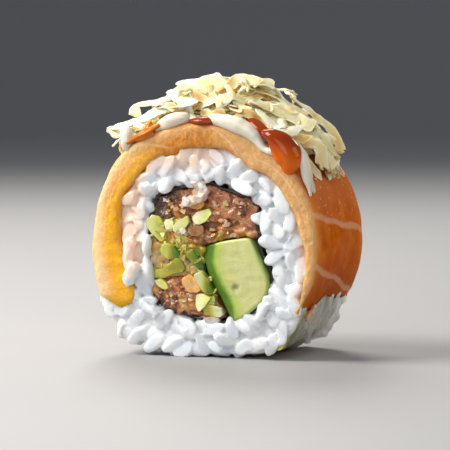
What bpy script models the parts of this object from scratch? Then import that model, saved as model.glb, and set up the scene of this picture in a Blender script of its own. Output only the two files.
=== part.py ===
"""One piece of a salmon dragon roll, standing on its rounded side.

A ring of sushi rice holds a sheet of nori, and inside the nori are chopped salmon, spring onion and a
stick of avocado. A thick slice of salmon lies over the top and both sides of the rice. On the salmon are
mayonnaise, drops of chilli sauce and a heap of crisp fried shreds.

The roll's axis runs along Y, its front cut faces -Y, and it rests on z = 0. Angles on the cut face are in
degrees about the roll's axis, 0 to the right (+X) and 90 straight up.
"""

import math
import random

import bmesh
import bpy
from mathutils import Matrix, Vector

MM = 0.001
GAP = 0.3 * MM  # clearance that touching pieces keep

# The roll as a whole.
ROLL_WIDTH = 48.4 * MM
ROLL_HEIGHT = 47.0 * MM
ROLL_SQUARENESS = 2.1  # power of the superellipse: 2 is an ellipse, more is squarer
ROLL_CENTRE_Z = ROLL_HEIGHT / 2
# Where the hand pressed the roll out of round: (angle, spread in degrees, how far it stands out).
ROLL_SHOULDERS = (
    (180, 24, 0.6 * MM),
    (224, 19, 3.9 * MM),
    (305, 14, 2.4 * MM),
    (146, 22, 0.5 * MM),
    (44, 20, -1.4 * MM),
    (266, 12, 0.3 * MM),
)
CUT_HALF_LENGTH = 13.2 * MM  # the rice core's cut faces are this far from the middle

# The hole through the rice, lined with nori: its wall's radius at angles about its own middle.
HOLE_CENTRE = Vector((0.5 * MM, 0, 20.9 * MM))
HOLE_RADIUS = (
    (-160, 14.2 * MM),
    (-138, 16.5 * MM),
    (-118, 14.4 * MM),
    (-96, 14.1 * MM),
    (-76, 14.7 * MM),
    (-56, 15.0 * MM),
    (-33, 15.7 * MM),
    (-17, 14.1 * MM),
    (-1, 11.6 * MM),
    (24, 11.7 * MM),
    (46, 14.4 * MM),
    (70, 13.9 * MM),
    (94, 14.7 * MM),
    (116, 15.2 * MM),
    (136, 16.7 * MM),
    (154, 15.3 * MM),
    (178, 13.7 * MM),
    (200, 14.2 * MM),
)
NORI_THICKNESS = 0.5 * MM
NORI_WAVE = 0.25 * MM
NORI_HALF_LENGTH = 13.0 * MM
LINING = NORI_THICKNESS + 2 * GAP + NORI_WAVE  # from the hole's wall to the filling

# Cooked rice grains.
GRAIN_LENGTH = 6.6 * MM
GRAIN_THICKNESS = 3.3 * MM
FACE_RINGS = ((0.24, 23), (0.76, 28))  # share of the way from hole to rim, grains round the ring
SIDE_ROWS = 4  # rows of grains along the uncovered underside
SIDE_PITCH = 4.6 * MM
CORE_INSET = 1.0 * MM  # how far grains stand out of the core
FOOT_SPREAD = 13  # degrees either side of the bottom that the rice is pressed flat

# The slice of salmon over the rice.
SALMON_RIGHT_END = -31
SALMON_LEFT_END = 206
SALMON_LEFT_SLANT = 13  # the left end is cut at a slant: its inner edge reaches further round
SALMON_HALF_LENGTH = 14.2 * MM
SALMON_EDGE_ROUND = 1.4 * MM
# The slice's thickness at angles round the roll.
SALMON_THICKNESS = (
    (-31, 1.4 * MM),
    (-18, 2.6 * MM),
    (0, 4.0 * MM),
    (50, 4.9 * MM),
    (95, 4.7 * MM),
    (130, 5.6 * MM),
    (160, 5.4 * MM),
    (190, 6.6 * MM),
    (206, 5.6 * MM),
)
SALMON_STEPS = 38

# Mayonnaise on the top of the salmon.
MAYO_RIGHT_END = 52
MAYO_LEFT_END = 139
MAYO_THICKNESS = 1.7 * MM
MAYO_HALF_LENGTH = 13.0 * MM
MAYO_FRONT_WAVE = 1.3 * MM
MAYO_STEPS = 18
MAYO_DRIP = (31, -9.6 * MM, 3.3 * MM, 1.5 * MM, 0.9 * MM)  # angle, y, half length, half width, half depth

# Drops of chilli sauce: angle, y, half length round the roll, half width along it, half depth.
SAUCE_DROPS = {
    "sauce_drop_right": (42.5, -13.2 * MM, 3.6 * MM, 2.5 * MM, 1.3 * MM),
    "sauce_drop_left": (128, -14.35 * MM, 2.6 * MM, 1.0 * MM, 0.9 * MM),
}

# The heap of crisp fried shreds.
HEAP_RIGHT_END = 34
HEAP_LEFT_END = 138
HEAP_HALF_LENGTH = 11 * MM
# Its top above the salmon at angles round the roll.
HEAP_HEIGHT = (
    (34, 3.2 * MM),
    (50, 4.6 * MM),
    (68, 8.2 * MM),
    (86, 11.0 * MM),
    (102, 11.4 * MM),
    (118, 10.2 * MM),
    (138, 6.8 * MM),
)
HEAP_CORE_SHARE = 0.3  # how much of that height the core fills
HEAP_FLOAT = MAYO_THICKNESS + 2 * GAP  # the heap's underside above the salmon
SHRED_THICKNESS = 0.7 * MM
SHRED_LENGTHS = (9 * MM, 16 * MM)
SHRED_WIDTHS = (2.0 * MM, 3.4 * MM)
SHRED_LAYERS = ((0.36, 21), (0.62, 21), (0.9, 14))  # share of the heap's height, shreds in the layer
# Strips that stand out of the heap: angle, y, share of its height, lie in radians, length, width, curl, tip.
OUTER_SHREDS = (
    (92, -5.0 * MM, 0.92, 0.2, 13 * MM, 4.0 * MM, 0.2 * MM, -1.2 * MM),
    (127, -9.5 * MM, 0.6, 0.25, 13 * MM, 2.8 * MM, 0.3 * MM, 0.3 * MM),
    (112, -7.0 * MM, 0.9, -0.2, 10 * MM, 2.6 * MM, -0.3 * MM, 0.2 * MM),
    (76, 2.0 * MM, 0.95, 0.1, 15 * MM, 2.6 * MM, 0.1 * MM, -0.4 * MM),
)
SHRED_STEPS = 3

# The stick of avocado.
AVOCADO_TOP_LEFT = (-0.4 * MM, 21.6 * MM)
AVOCADO_TOP_MIDDLE = (4.4 * MM, 23.0 * MM)
AVOCADO_ARC = (15, -66)  # its rounded side follows the hole between these angles about the hole
AVOCADO_ARC_INSET = 1.5 * MM
AVOCADO_BOTTOM = (4.7 * MM, 9.0 * MM)
AVOCADO_LEFT = (0.7 * MM, 15.6 * MM)
AVOCADO_HALF_LENGTH = 13.4 * MM
AVOCADO_BEVEL = 0.7 * MM

# The other fillings: where the seams between them run, as (x, z), from left to right.
SEAM_TOP = ((-12.6, 24.6), (-7.0, 23.6), (-3.6, 21.8), (-0.9, 22.3))
SEAM_BOTTOM = ((-12.4, 15.4), (-8.0, 15.6), (-4.4, 17.0), (0.1, 15.3))
TOP_ARC = (18, 164)  # angles about the hole between which each filling meets the nori
MIDDLE_ARC = (166, 203)
BOTTOM_ARC = (205, 287)
FILLING_HALF_LENGTH = 12.4 * MM
CHOP_SIZE = 1.9 * MM  # half size of a chopped bit
CHOP_PITCH = 3.3 * MM
ARC_STEP = 9  # degrees

SCRAP_ANGLE = -35
SCRAP_Y = -8.0 * MM
SCRAP_SIZE = (3.2 * MM, 3.0 * MM, 1.5 * MM)

COLOURS = {
    "rice": (0.80, 0.81, 0.80, 0.35),
    "nori": (0.010, 0.012, 0.010, 0.45),
    "salmon": (0.78, 0.30, 0.09, 0.30),
    "mayonnaise": (0.90, 0.84, 0.68, 0.25),
    "sauce": (0.45, 0.06, 0.005, 0.12),
    "fried_shred": (0.82, 0.68, 0.38, 0.45),
    "avocado": (0.52, 0.58, 0.16, 0.35),
    "chopped_salmon": (0.42, 0.18, 0.09, 0.35),
    "spring_onion": (0.38, 0.45, 0.10, 0.35),
}


def material(name):
    """A plain Principled material in one of the object's colours."""
    made = bpy.data.materials.get(name)
    if made is None:
        made = bpy.data.materials.new(name)
        made.use_nodes = True
        red, green, blue, roughness = COLOURS[name]
        shader = made.node_tree.nodes["Principled BSDF"]
        shader.inputs["Base Color"].default_value = (red, green, blue, 1)
        shader.inputs["Roughness"].default_value = roughness
        shader.inputs["Metallic"].default_value = 0
        made.diffuse_color = (red, green, blue, 1)
    return made


def new_object(name, mesh_builder, material_name):
    """Links an object with the closed mesh that the builder leaves in the bmesh."""
    bm = bmesh.new()
    mesh_builder(bm)
    bmesh.ops.recalc_face_normals(bm, faces=bm.faces)
    mesh = bpy.data.meshes.new(name)
    bm.to_mesh(mesh)
    bm.free()
    mesh.materials.append(material(material_name))
    obj = bpy.data.objects.new(name, mesh)
    bpy.context.scene.collection.objects.link(obj)
    return obj


def remove(objects):
    for obj in objects:
        mesh = obj.data
        bpy.data.objects.remove(obj)
        bpy.data.meshes.remove(mesh)


def apply_modifiers(obj):
    """Bakes the modifiers into the mesh."""
    bpy.context.view_layer.update()
    graph = bpy.context.evaluated_depsgraph_get()
    mesh = bpy.data.meshes.new_from_object(obj.evaluated_get(graph))
    obj.modifiers.clear()
    old = obj.data
    obj.data = mesh
    bpy.data.meshes.remove(old)


def fuse(obj, pieces):
    """Joins loose pieces to the object by one Boolean union."""
    group = bpy.data.collections.new(obj.name + "_pieces")
    bpy.context.scene.collection.children.link(group)
    for piece in pieces:
        bpy.context.scene.collection.objects.unlink(piece)
        group.objects.link(piece)
    union = obj.modifiers.new("fuse", "BOOLEAN")
    union.operation = "UNION"
    union.operand_type = "COLLECTION"
    union.collection = group
    union.solver = "MANIFOLD"
    apply_modifiers(obj)
    remove(pieces)
    bpy.data.collections.remove(group)


def cut(obj, tool, operation="DIFFERENCE"):
    """Cuts the object with a tool, or keeps only what lies inside it, then removes the tool."""
    boolean = obj.modifiers.new(operation.lower(), "BOOLEAN")
    boolean.operation = operation
    boolean.object = tool
    boolean.solver = "MANIFOLD"
    apply_modifiers(obj)
    remove([tool])


def keep_largest(obj):
    """Drops scraps that touch nothing."""
    bm = bmesh.new()
    bm.from_mesh(obj.data)
    left = set(bm.verts)
    islands = []
    while left:
        found = [left.pop()]
        for vert in found:
            near = {edge.other_vert(vert) for edge in vert.link_edges} & left
            left -= near
            found.extend(near)
        islands.append(found)
    islands.sort(key=len)
    bmesh.ops.delete(bm, geom=[v for island in islands[:-1] for v in island], context="VERTS")
    bm.to_mesh(obj.data)
    bm.free()


# ---- Outlines on the cut face ----


def bump(angle, centre, spread):
    """A smooth hump of height 1 round an angle, in degrees."""
    off = (angle - centre + 180) % 360 - 180
    return math.exp(-((off / spread) ** 2))


def rounded_square(angle, width, height, power):
    """Radius of a superellipse at an angle in degrees."""
    across = abs(math.cos(math.radians(angle))) / (width / 2)
    up = abs(math.sin(math.radians(angle))) / (height / 2)
    return (across**power + up**power) ** (-1 / power)


def roll_radius(angle):
    radius = rounded_square(angle, ROLL_WIDTH, ROLL_HEIGHT, ROLL_SQUARENESS)
    return radius + sum(out * bump(angle, at, spread) for at, spread, out in ROLL_SHOULDERS)


def hole_radius(angle):
    return between(HOLE_RADIUS, (angle + 160) % 360 - 160)


def roll_point(angle, radius, y=0.0):
    """A point at an angle and radius about the roll's axis."""
    turn = math.radians(angle)
    return Vector((radius * math.cos(turn), y, ROLL_CENTRE_Z + radius * math.sin(turn)))


def hole_point(angle, inset=0.0, y=0.0):
    """A point on the hole's wall, or inset towards the hole's middle."""
    turn = math.radians(angle)
    radius = hole_radius(angle) - inset
    return HOLE_CENTRE + Vector((radius * math.cos(turn), y, radius * math.sin(turn)))


def between(table, angle):
    """Smooth value at an angle from a table of (angle, value)."""
    if angle <= table[0][0]:
        return table[0][1]
    for (start, low), (end, high) in zip(table, table[1:]):
        if angle <= end:
            share = (angle - start) / (end - start)
            return low + (high - low) * share * share * (3 - 2 * share)
    return table[-1][1]


# ---- Solids ----


def prism(bm, outline, half_length):
    """An outline of (x, z) points drawn out along Y to both sides."""
    front = [bm.verts.new((x, -half_length, z)) for x, z in outline]
    back = [bm.verts.new((x, half_length, z)) for x, z in outline]
    bm.faces.new(front)
    bm.faces.new(reversed(back))
    count = len(outline)
    for i in range(count):
        j = (i + 1) % count
        bm.faces.new((front[j], front[i], back[i], back[j]))


def loft(bm, sections, closed=False):
    """Skins a row of closed sections that all have as many points, and caps an open row."""
    rings = [[bm.verts.new(point) for point in section] for section in sections]
    pairs = list(zip(rings, rings[1:]))
    if closed:
        pairs.append((rings[-1], rings[0]))
    count = len(rings[0])
    for one, two in pairs:
        for i in range(count):
            j = (i + 1) % count
            bm.faces.new((one[i], one[j], two[j], two[i]))
    if not closed:
        bm.faces.new(reversed(rings[0]))
        bm.faces.new(rings[-1])


def turned(point, x_axis, y_axis):
    """A matrix that places a shape at a point with its X and Y axes along two directions."""
    x = x_axis.normalized()
    z = x.cross(y_axis).normalized()
    return Matrix.Translation(point) @ Matrix((x, z.cross(x), z)).transposed().to_4x4()


def grain(bm, matrix, length, thickness):
    """A rice grain of 30 triangles, long along X."""
    sides = 5
    rings = []
    for share, width in ((-0.72, 0.74), (0.0, 1.0), (0.72, 0.7)):
        ring = []
        for i in range(sides):
            turn = math.tau * i / sides
            across = width * thickness / 2
            spot = Vector((share * length / 2, across * math.cos(turn), across * math.sin(turn)))
            ring.append(bm.verts.new(matrix @ spot))
        rings.append(ring)
    ends = [bm.verts.new(matrix @ Vector((side * length / 2, 0, 0))) for side in (-1, 1)]
    for i in range(sides):
        j = (i + 1) % sides
        bm.faces.new((ends[0], rings[0][j], rings[0][i]))
        bm.faces.new((ends[1], rings[2][i], rings[2][j]))
        for one, two in zip(rings, rings[1:]):
            bm.faces.new((one[i], one[j], two[j], two[i]))


def loose(name, builder):
    """A helper solid that is soon fused or cut with, in the rice's plain material."""
    return new_object(name, builder, "rice")


def tilted(draw, most):
    """A random turn of up to most radians either way."""
    return draw.uniform(-most, most)


# ---- Rice ----


def rice_ring_outline(bm):
    """The rice core: a ring between the hole and just inside the roll's outline."""
    count = 56
    sections = []
    for i in range(count):
        angle = 360 * i / count
        inner = hole_point(angle)
        outer = roll_point(angle, roll_radius(angle) - CORE_INSET * (1 - 1.5 * bump(angle, 270, FOOT_SPREAD)))
        sections.append(
            [
                Vector((inner.x, -CUT_HALF_LENGTH, inner.z)),
                Vector((outer.x, -CUT_HALF_LENGTH, outer.z)),
                Vector((outer.x, CUT_HALF_LENGTH, outer.z)),
                Vector((inner.x, CUT_HALF_LENGTH, inner.z)),
            ]
        )
    loft(bm, sections, closed=True)


def face_grains(draw, side):
    """Grains that lie in a cut face, in rings from the hole to the rim."""
    for share, count in FACE_RINGS:
        for i in range(count):
            angle = 360 * (i + draw.uniform(0.2, 0.8)) / count
            inner = hole_point(angle)
            edge = salmon_inner_radius(angle) if under_salmon(angle) else roll_radius(angle)
            outer = roll_point(angle, edge)
            spot = inner.lerp(outer, share + draw.uniform(-0.06, 0.06))
            spot.y = side * (CUT_HALF_LENGTH - draw.uniform(0.5, 1.0) * MM)
            lie = math.radians(angle + 90) + tilted(draw, 1.2)
            along = Vector((math.cos(lie), tilted(draw, 0.3), math.sin(lie)))
            yield spot, along, Vector((0, 1, 0))


def side_grains(draw):
    """Grains on the uncovered underside, in rows along the roll."""
    angle = SALMON_LEFT_END + 8
    end = SALMON_RIGHT_END + 360
    while angle < end:
        radius = roll_radius(angle)
        for row in range(SIDE_ROWS):
            y = (row + 0.5 + tilted(draw, 0.2)) / SIDE_ROWS * 2 - 1
            out = roll_point(angle, 1) - roll_point(angle, 0)
            spot = roll_point(angle, radius - GRAIN_THICKNESS * 0.46, y * (CUT_HALF_LENGTH - 2 * MM))
            lie = tilted(draw, 1.1)
            tangent = out.cross(Vector((0, 1, 0)))
            yield spot, Vector((0, 1, 0)) * math.cos(lie) + tangent * math.sin(lie), out
        angle += math.degrees(SIDE_PITCH / radius)


def make_rice():
    """The heap of rice: a core ring with the grains that show fused on, flat where it rests."""
    rice = new_object("rice", rice_ring_outline, "rice")
    draw = random.Random(7)
    places = [*face_grains(draw, -1), *face_grains(draw, 1), *side_grains(draw)]
    grains = []
    for i, (spot, along, out) in enumerate(places):
        length = GRAIN_LENGTH * draw.uniform(0.85, 1.1)
        thick = GRAIN_THICKNESS * draw.uniform(0.88, 1.08)
        place = turned(spot, along, out.cross(along))
        grains.append(loose(f"grain_{i}", lambda bm: grain(bm, place, length, thick)))
    fuse(rice, grains)
    longer = 2 * CUT_HALF_LENGTH
    hole = [hole_point(a) for a in range(0, 360, ARC_STEP // 2)]
    cut(rice, loose("hole", lambda bm: prism(bm, [(p.x, p.z) for p in hole], longer)))
    cut(rice, loose("under_salmon", lambda bm: salmon_bed(bm, longer)))
    floor = [(-ROLL_WIDTH, -ROLL_HEIGHT), (ROLL_WIDTH, -ROLL_HEIGHT), (ROLL_WIDTH, 0), (-ROLL_WIDTH, 0)]
    cut(rice, loose("floor", lambda bm: prism(bm, floor, longer)))
    keep_largest(rice)
    return rice


# ---- Nori ----


def nori_sheet(bm):
    """The nori: a thin wavy tube that lines the hole."""
    count = 48
    sections = []
    for i in range(count):
        angle = 360 * i / count
        wave = NORI_WAVE * (0.5 + 0.5 * math.sin(math.radians(angle * 9)))
        section = []
        for inset, side in ((GAP, -1), (GAP + NORI_THICKNESS, -1), (GAP + NORI_THICKNESS, 1), (GAP, 1)):
            edge = 0.3 * MM * math.sin(math.radians(angle * 5 + 40 * side))
            section.append(hole_point(angle, inset + wave, side * (NORI_HALF_LENGTH + edge)))
        sections.append(section)
    loft(bm, sections, closed=True)


# ---- Salmon ----


def under_salmon(angle):
    turn = (angle + 90) % 360 - 90
    return SALMON_RIGHT_END <= turn <= SALMON_LEFT_END


def salmon_inner_radius(angle):
    turn = (angle + 90) % 360 - 90
    return roll_radius(angle) - between(SALMON_THICKNESS, turn)


def salmon_slant(angle):
    """How much further round the inner edge lies than the outer edge, near the left end."""
    share = max(0.0, (angle - SALMON_LEFT_END + 30) / 30)
    return SALMON_LEFT_SLANT * share**2


def bar_section(inner, outer, half_length, rounding):
    """(radius, y) points round a flat bar with rounded edges, from its front inner corner outwards."""
    reach = min(rounding, 0.45 * (outer - inner))
    corners = ((-1, inner + reach, 270), (-1, outer - reach, 180), (1, outer - reach, 90), (1, inner + reach, 0))
    points = []
    for side, radius, start in corners:
        for turn in (0, 45, 90):
            bend = math.radians(start - turn)
            y = side * (half_length - reach) + reach * math.cos(bend)
            points.append((radius + reach * math.sin(bend), y))
    return points


def salmon_slice(bm):
    """The slice, bent over the roll from one side to the other."""
    sections = []
    span = SALMON_LEFT_END - SALMON_RIGHT_END
    for i in range(SALMON_STEPS + 1):
        angle = SALMON_RIGHT_END + span * i / SALMON_STEPS
        lean = salmon_slant(angle)
        outer = roll_radius(angle)
        inner = roll_radius(angle + lean) - between(SALMON_THICKNESS, angle)
        length = SALMON_HALF_LENGTH + 0.25 * MM * math.sin(math.radians(angle * 7))
        section = []
        for radius, y in bar_section(inner, outer, length, SALMON_EDGE_ROUND):
            share = (outer - radius) / (outer - inner)
            section.append(roll_point(angle + lean * share, radius, y))
        sections.append(section)
    loft(bm, sections)


def salmon_bed(bm, half_length):
    """The room that the slice takes up on the rice, a gap larger on every side."""
    sections = []
    start = SALMON_RIGHT_END - 1
    span = SALMON_LEFT_END + 1 - start
    for i in range(SALMON_STEPS + 1):
        angle = start + span * i / SALMON_STEPS
        lean = salmon_slant(angle)
        outer = roll_radius(angle) + 4 * MM
        inner = roll_radius(angle + lean) - between(SALMON_THICKNESS, angle) - GAP
        corners = ((inner, -1), (outer, -1), (outer, 1), (inner, 1))
        section = []
        for radius, side in corners:
            turn = angle + (lean if radius == inner else 0)
            section.append(roll_point(turn, radius, side * half_length))
        sections.append(section)
    loft(bm, sections)


# ---- Mayonnaise and sauce ----


def mayo_layer(bm):
    """The mayonnaise: a soft band over the top of the salmon, with a wavy front edge."""
    sections = []
    span = MAYO_LEFT_END - MAYO_RIGHT_END
    for i in range(MAYO_STEPS + 1):
        angle = MAYO_RIGHT_END + span * i / MAYO_STEPS
        end = min(1.0, 5 * min(i, MAYO_STEPS - i) / MAYO_STEPS + 0.35)
        inner = roll_radius(angle) + GAP
        outer = inner + MAYO_THICKNESS * end
        wave = MAYO_FRONT_WAVE * math.sin(math.radians(angle * 11)) * end
        section = []
        for radius, y in bar_section(inner, outer, MAYO_HALF_LENGTH * (0.8 + 0.2 * end), MAYO_THICKNESS / 2):
            section.append(roll_point(angle, radius, y - wave * (1 if y < 0 else -0.6)))
        sections.append(section)
    loft(bm, sections)


def blob(bm, shape):
    """A drop that lies on the salmon: flat below, domed above."""
    angle, y, half_length, half_width, half_depth = shape
    sides = 12
    foot = roll_radius(angle) + GAP
    rings = []
    for share, height in ((0.9, 0.0), (1.0, 0.5), (0.85, 1.3), (0.5, 1.85)):
        ring = []
        for i in range(sides):
            turn = math.tau * i / sides
            round_by = math.degrees(share * half_length * math.cos(turn) / foot)
            at = angle + round_by
            radius = roll_radius(at) + GAP + height * half_depth
            ring.append(roll_point(at, radius, y + share * half_width * math.sin(turn)))
        rings.append(ring)
    loft(bm, rings)


# ---- Crisp shreds ----


def heap_float(angle):
    """Height of the heap's underside over the salmon: less where there is no mayonnaise."""
    right = max(0.0, min(1.0, (angle - MAYO_RIGHT_END + 12) / 8))
    left = max(0.0, min(1.0, (MAYO_LEFT_END + 12 - angle) / 8))
    return GAP + (HEAP_FLOAT - GAP) * right * left


def heap_core(bm):
    """The heap's core: a low dome that follows the roll, above the mayonnaise."""
    count = 18
    sections = []
    for i in range(count + 1):
        angle = HEAP_RIGHT_END + (HEAP_LEFT_END - HEAP_RIGHT_END) * i / count
        swell = 0.3 + 0.7 * math.sin(math.pi * i / count)
        inner = roll_radius(angle) + heap_float(angle)
        outer = inner + 0.5 * MM + (HEAP_CORE_SHARE * between(HEAP_HEIGHT, angle) - 0.5 * MM) * swell
        length = HEAP_HALF_LENGTH * (0.5 + 0.4 * swell)
        sections.append(
            [roll_point(angle, radius, y) for radius, y in bar_section(inner, outer, length, 1.5 * MM)]
        )
    loft(bm, sections)


def shred(bm, angle, y, share, lie, length, width, curl, tip):
    """One fried strip that lies over the roll at a share of the heap's height, its ends curled."""
    middle = roll_radius(angle) + between(HEAP_HEIGHT, angle) * share
    sections = []
    for i in range(SHRED_STEPS + 1):
        step = i / SHRED_STEPS * 2 - 1
        turn = angle + math.degrees(step * length / 2 * math.cos(lie) / middle)
        height = between(HEAP_HEIGHT, turn) * share + curl * (step * step - 0.4) + tip * step
        radius = roll_radius(turn) + max(height, heap_float(turn) + 0.8 * MM)
        half = width / 2 * (1 - 0.3 * step * step)
        section = []
        for side, lift in ((-1, -0.5), (1, -0.5), (1, 0.5), (-1, 0.5)):
            round_by = math.degrees(-side * half * math.sin(lie) / radius)
            along_y = y + step * length / 2 * math.sin(lie) + side * half * math.cos(lie)
            section.append(roll_point(turn + round_by, radius + lift * SHRED_THICKNESS, along_y))
        sections.append(section)
    loft(bm, sections)


def make_shreds():
    """The heap of fried shreds: layers of strips fused to a core and to each other."""
    heap = new_object("crisp_shreds", heap_core, "fried_shred")
    draw = random.Random(23)
    strips = []
    for share, count in SHRED_LAYERS:
        for i in range(count):
            across = (i + draw.uniform(0.2, 0.8)) / count
            angle = HEAP_RIGHT_END + 5 + (HEAP_LEFT_END - HEAP_RIGHT_END - 10) * across
            lie = draw.choice((0, math.pi / 2, 0.5, -0.6)) + tilted(draw, 0.4)
            length = draw.uniform(*SHRED_LENGTHS)
            room = HEAP_HALF_LENGTH + 2 * MM - length / 2 * abs(math.sin(lie))
            y = tilted(draw, room)
            width = draw.uniform(*SHRED_WIDTHS)
            curl = draw.uniform(-0.6, 1.2) * MM
            tip = tilted(draw, 0.9 * MM)
            at = share * draw.uniform(0.92, 1.12)
            strips.append(
                loose(f"shred_{share}_{i}", lambda bm: shred(bm, angle, y, at, lie, length, width, curl, tip))
            )
    for i, shape in enumerate(OUTER_SHREDS):
        strips.append(loose(f"outer_shred_{i}", lambda bm: shred(bm, *shape)))
    fuse(heap, strips)
    cut(heap, loose("under_heap", under_heap))
    keep_largest(heap)
    return heap


def under_heap(bm):
    """Everything that the heap has to stay clear of: the roll, the mayonnaise and the drops."""
    sections = []
    count = 60
    drops = [*SAUCE_DROPS.values(), MAYO_DRIP]
    for i in range(count):
        angle = 360 * i / count
        base = roll_radius(angle) + heap_float(angle) - 0.1 * MM
        section = []
        for y in (-15 * MM, -11 * MM, -7 * MM, 15 * MM):
            radius = base
            for at, where, half_length, half_width, half_depth in drops:
                near = abs((angle - at + 180) % 360 - 180) * math.radians(1) * base < half_length + 2 * MM
                if near and y < -6 * MM:
                    radius = max(radius, roll_radius(angle) + 2.2 * half_depth + 2 * GAP)
            section.append(roll_point(angle, radius, y))
        section += [roll_point(angle, 2 * MM, 15 * MM), roll_point(angle, 2 * MM, -15 * MM)]
        sections.append(section)
    loft(bm, sections, closed=True)


# ---- Fillings ----


def hole_arc(start, end, inset):
    """(x, z) points that follow the hole's wall at an inset, from one angle to another."""
    count = max(2, round(abs(end - start) / ARC_STEP))
    points = [hole_point(start + (end - start) * i / count, inset) for i in range(count + 1)]
    return [(p.x, p.z) for p in points]


def avocado_outline():
    arc = hole_arc(*AVOCADO_ARC, AVOCADO_ARC_INSET)
    return [AVOCADO_TOP_LEFT, AVOCADO_TOP_MIDDLE, *arc, AVOCADO_BOTTOM, AVOCADO_LEFT]


def seam(points, shift):
    """A seam's points, moved up by shift, in metres."""
    return [(x * MM, z * MM + shift) for x, z in points]


def top_outline():
    arc = hole_arc(*TOP_ARC, LINING)
    return [*arc, *seam(SEAM_TOP, GAP)[1:], (4.2 * MM, 23.6 * MM)]


def middle_outline():
    arc = hole_arc(*MIDDLE_ARC, LINING)
    upper = seam(SEAM_TOP, -GAP)
    lower = seam(SEAM_BOTTOM, GAP)
    return [*arc, *lower[1:], (-0.9 * MM, 21.2 * MM), *reversed(upper[1:-1])]


def bottom_outline():
    arc = hole_arc(*BOTTOM_ARC, LINING)
    return [*arc, (4.1 * MM, 9.0 * MM), *reversed(seam(SEAM_BOTTOM, -GAP)[1:])]


def inside(outline, x, z, margin):
    """Whether a point lies in an outline and at least a margin from its edges."""
    within = False
    for (x0, z0), (x1, z1) in zip(outline, outline[1:] + outline[:1]):
        if (z0 > z) != (z1 > z) and x < x0 + (z - z0) / (z1 - z0) * (x1 - x0):
            within = not within
        step = Vector((x1 - x0, z1 - z0))
        share = max(0.0, min(1.0, (Vector((x - x0, z - z0)).dot(step)) / step.length_squared))
        if (Vector((x0, z0)) + step * share - Vector((x, z))).length < margin:
            return False
    return within


def chop(bm, matrix, size):
    """A chopped bit: a box with its corners cut unevenly."""
    bmesh.ops.create_icosphere(bm, subdivisions=1, radius=size, matrix=matrix)


def make_filling(name, outline, material_name, seed, flatness):
    """A filling that runs through the roll, with chopped bits standing out of both cut faces."""
    filling = new_object(name, lambda bm: prism(bm, outline, FILLING_HALF_LENGTH), material_name)
    draw = random.Random(seed)
    low_x, high_x = min(x for x, z in outline), max(x for x, z in outline)
    low_z, high_z = min(z for x, z in outline), max(z for x, z in outline)
    bits = []
    for side in (-1, 1):
        z = low_z
        while z < high_z:
            x = low_x + draw.uniform(0, CHOP_PITCH)
            while x < high_x:
                spot_x, spot_z = x + tilted(draw, 0.6 * MM), z + tilted(draw, 0.6 * MM)
                if inside(outline, spot_x, spot_z, 0.9 * MM):
                    size = CHOP_SIZE * draw.uniform(0.8, 1.15)
                    spot = Vector((spot_x, side * (FILLING_HALF_LENGTH - 0.35 * size), spot_z))
                    turn = Matrix.Rotation(draw.uniform(0, math.tau), 4, (draw.random(), 1, draw.random()))
                    shape = Matrix.Diagonal((1, flatness, draw.uniform(0.6, 1), 1))
                    place = Matrix.Translation(spot) @ turn @ shape
                    bits.append(loose(f"{name}_{len(bits)}", lambda bm: chop(bm, place, size)))
                x += CHOP_PITCH
            z += CHOP_PITCH * 0.9
    fuse(filling, bits)
    cut(filling, loose("room", lambda bm: prism(bm, outline, 2 * FILLING_HALF_LENGTH)), "INTERSECT")
    keep_largest(filling)
    return filling


def avocado_stick(bm):
    """The avocado: a stick with one rounded side, its cut edges a little worn."""
    prism(bm, avocado_outline(), AVOCADO_HALF_LENGTH)
    bmesh.ops.recalc_face_normals(bm, faces=bm.faces)
    ends = [e for e in bm.edges if abs(abs(e.verts[0].co.y + e.verts[1].co.y) / 2 - AVOCADO_HALF_LENGTH) < GAP / 2]
    bmesh.ops.bevel(bm, geom=ends, offset=AVOCADO_BEVEL, segments=2, profile=0.5, affect="EDGES")


def salmon_scrap(bm):
    """A scrap of salmon that sticks to the rice just under the slice's right end."""
    angle = SCRAP_ANGLE
    middle = roll_point(angle, roll_radius(angle) + GAP + SCRAP_SIZE[2] / 2, SCRAP_Y)
    out = roll_point(angle, 1) - roll_point(angle, 0)
    place = turned(middle, Vector((0, 1, 0.2)), out.cross(Vector((0, 1, 0.2))))
    bmesh.ops.create_icosphere(bm, subdivisions=1, radius=0.5, matrix=place @ Matrix.Diagonal((*SCRAP_SIZE, 1)))


def clear_scene():
    for obj in list(bpy.data.objects):
        bpy.data.objects.remove(obj)


def main():
    clear_scene()
    make_rice()
    new_object("nori", nori_sheet, "nori")
    new_object("salmon_slice", salmon_slice, "salmon")
    new_object("avocado", avocado_stick, "avocado")
    make_filling("chopped_salmon_top", top_outline(), "chopped_salmon", 3, 0.8)
    make_filling("chopped_salmon_bottom", bottom_outline(), "chopped_salmon", 5, 0.8)
    make_filling("spring_onion", middle_outline(), "spring_onion", 11, 1.0)
    new_object("mayonnaise", mayo_layer, "mayonnaise")
    new_object("mayonnaise_drip", lambda bm: blob(bm, MAYO_DRIP), "mayonnaise")
    for name, shape in SAUCE_DROPS.items():
        new_object(name, lambda bm: blob(bm, shape), "sauce")
    make_shreds()
    new_object("salmon_scrap", salmon_scrap, "salmon")


main()
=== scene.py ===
import math

import bmesh
import bpy
import numpy as np
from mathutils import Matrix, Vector
from mathutils.kdtree import KDTree


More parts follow.
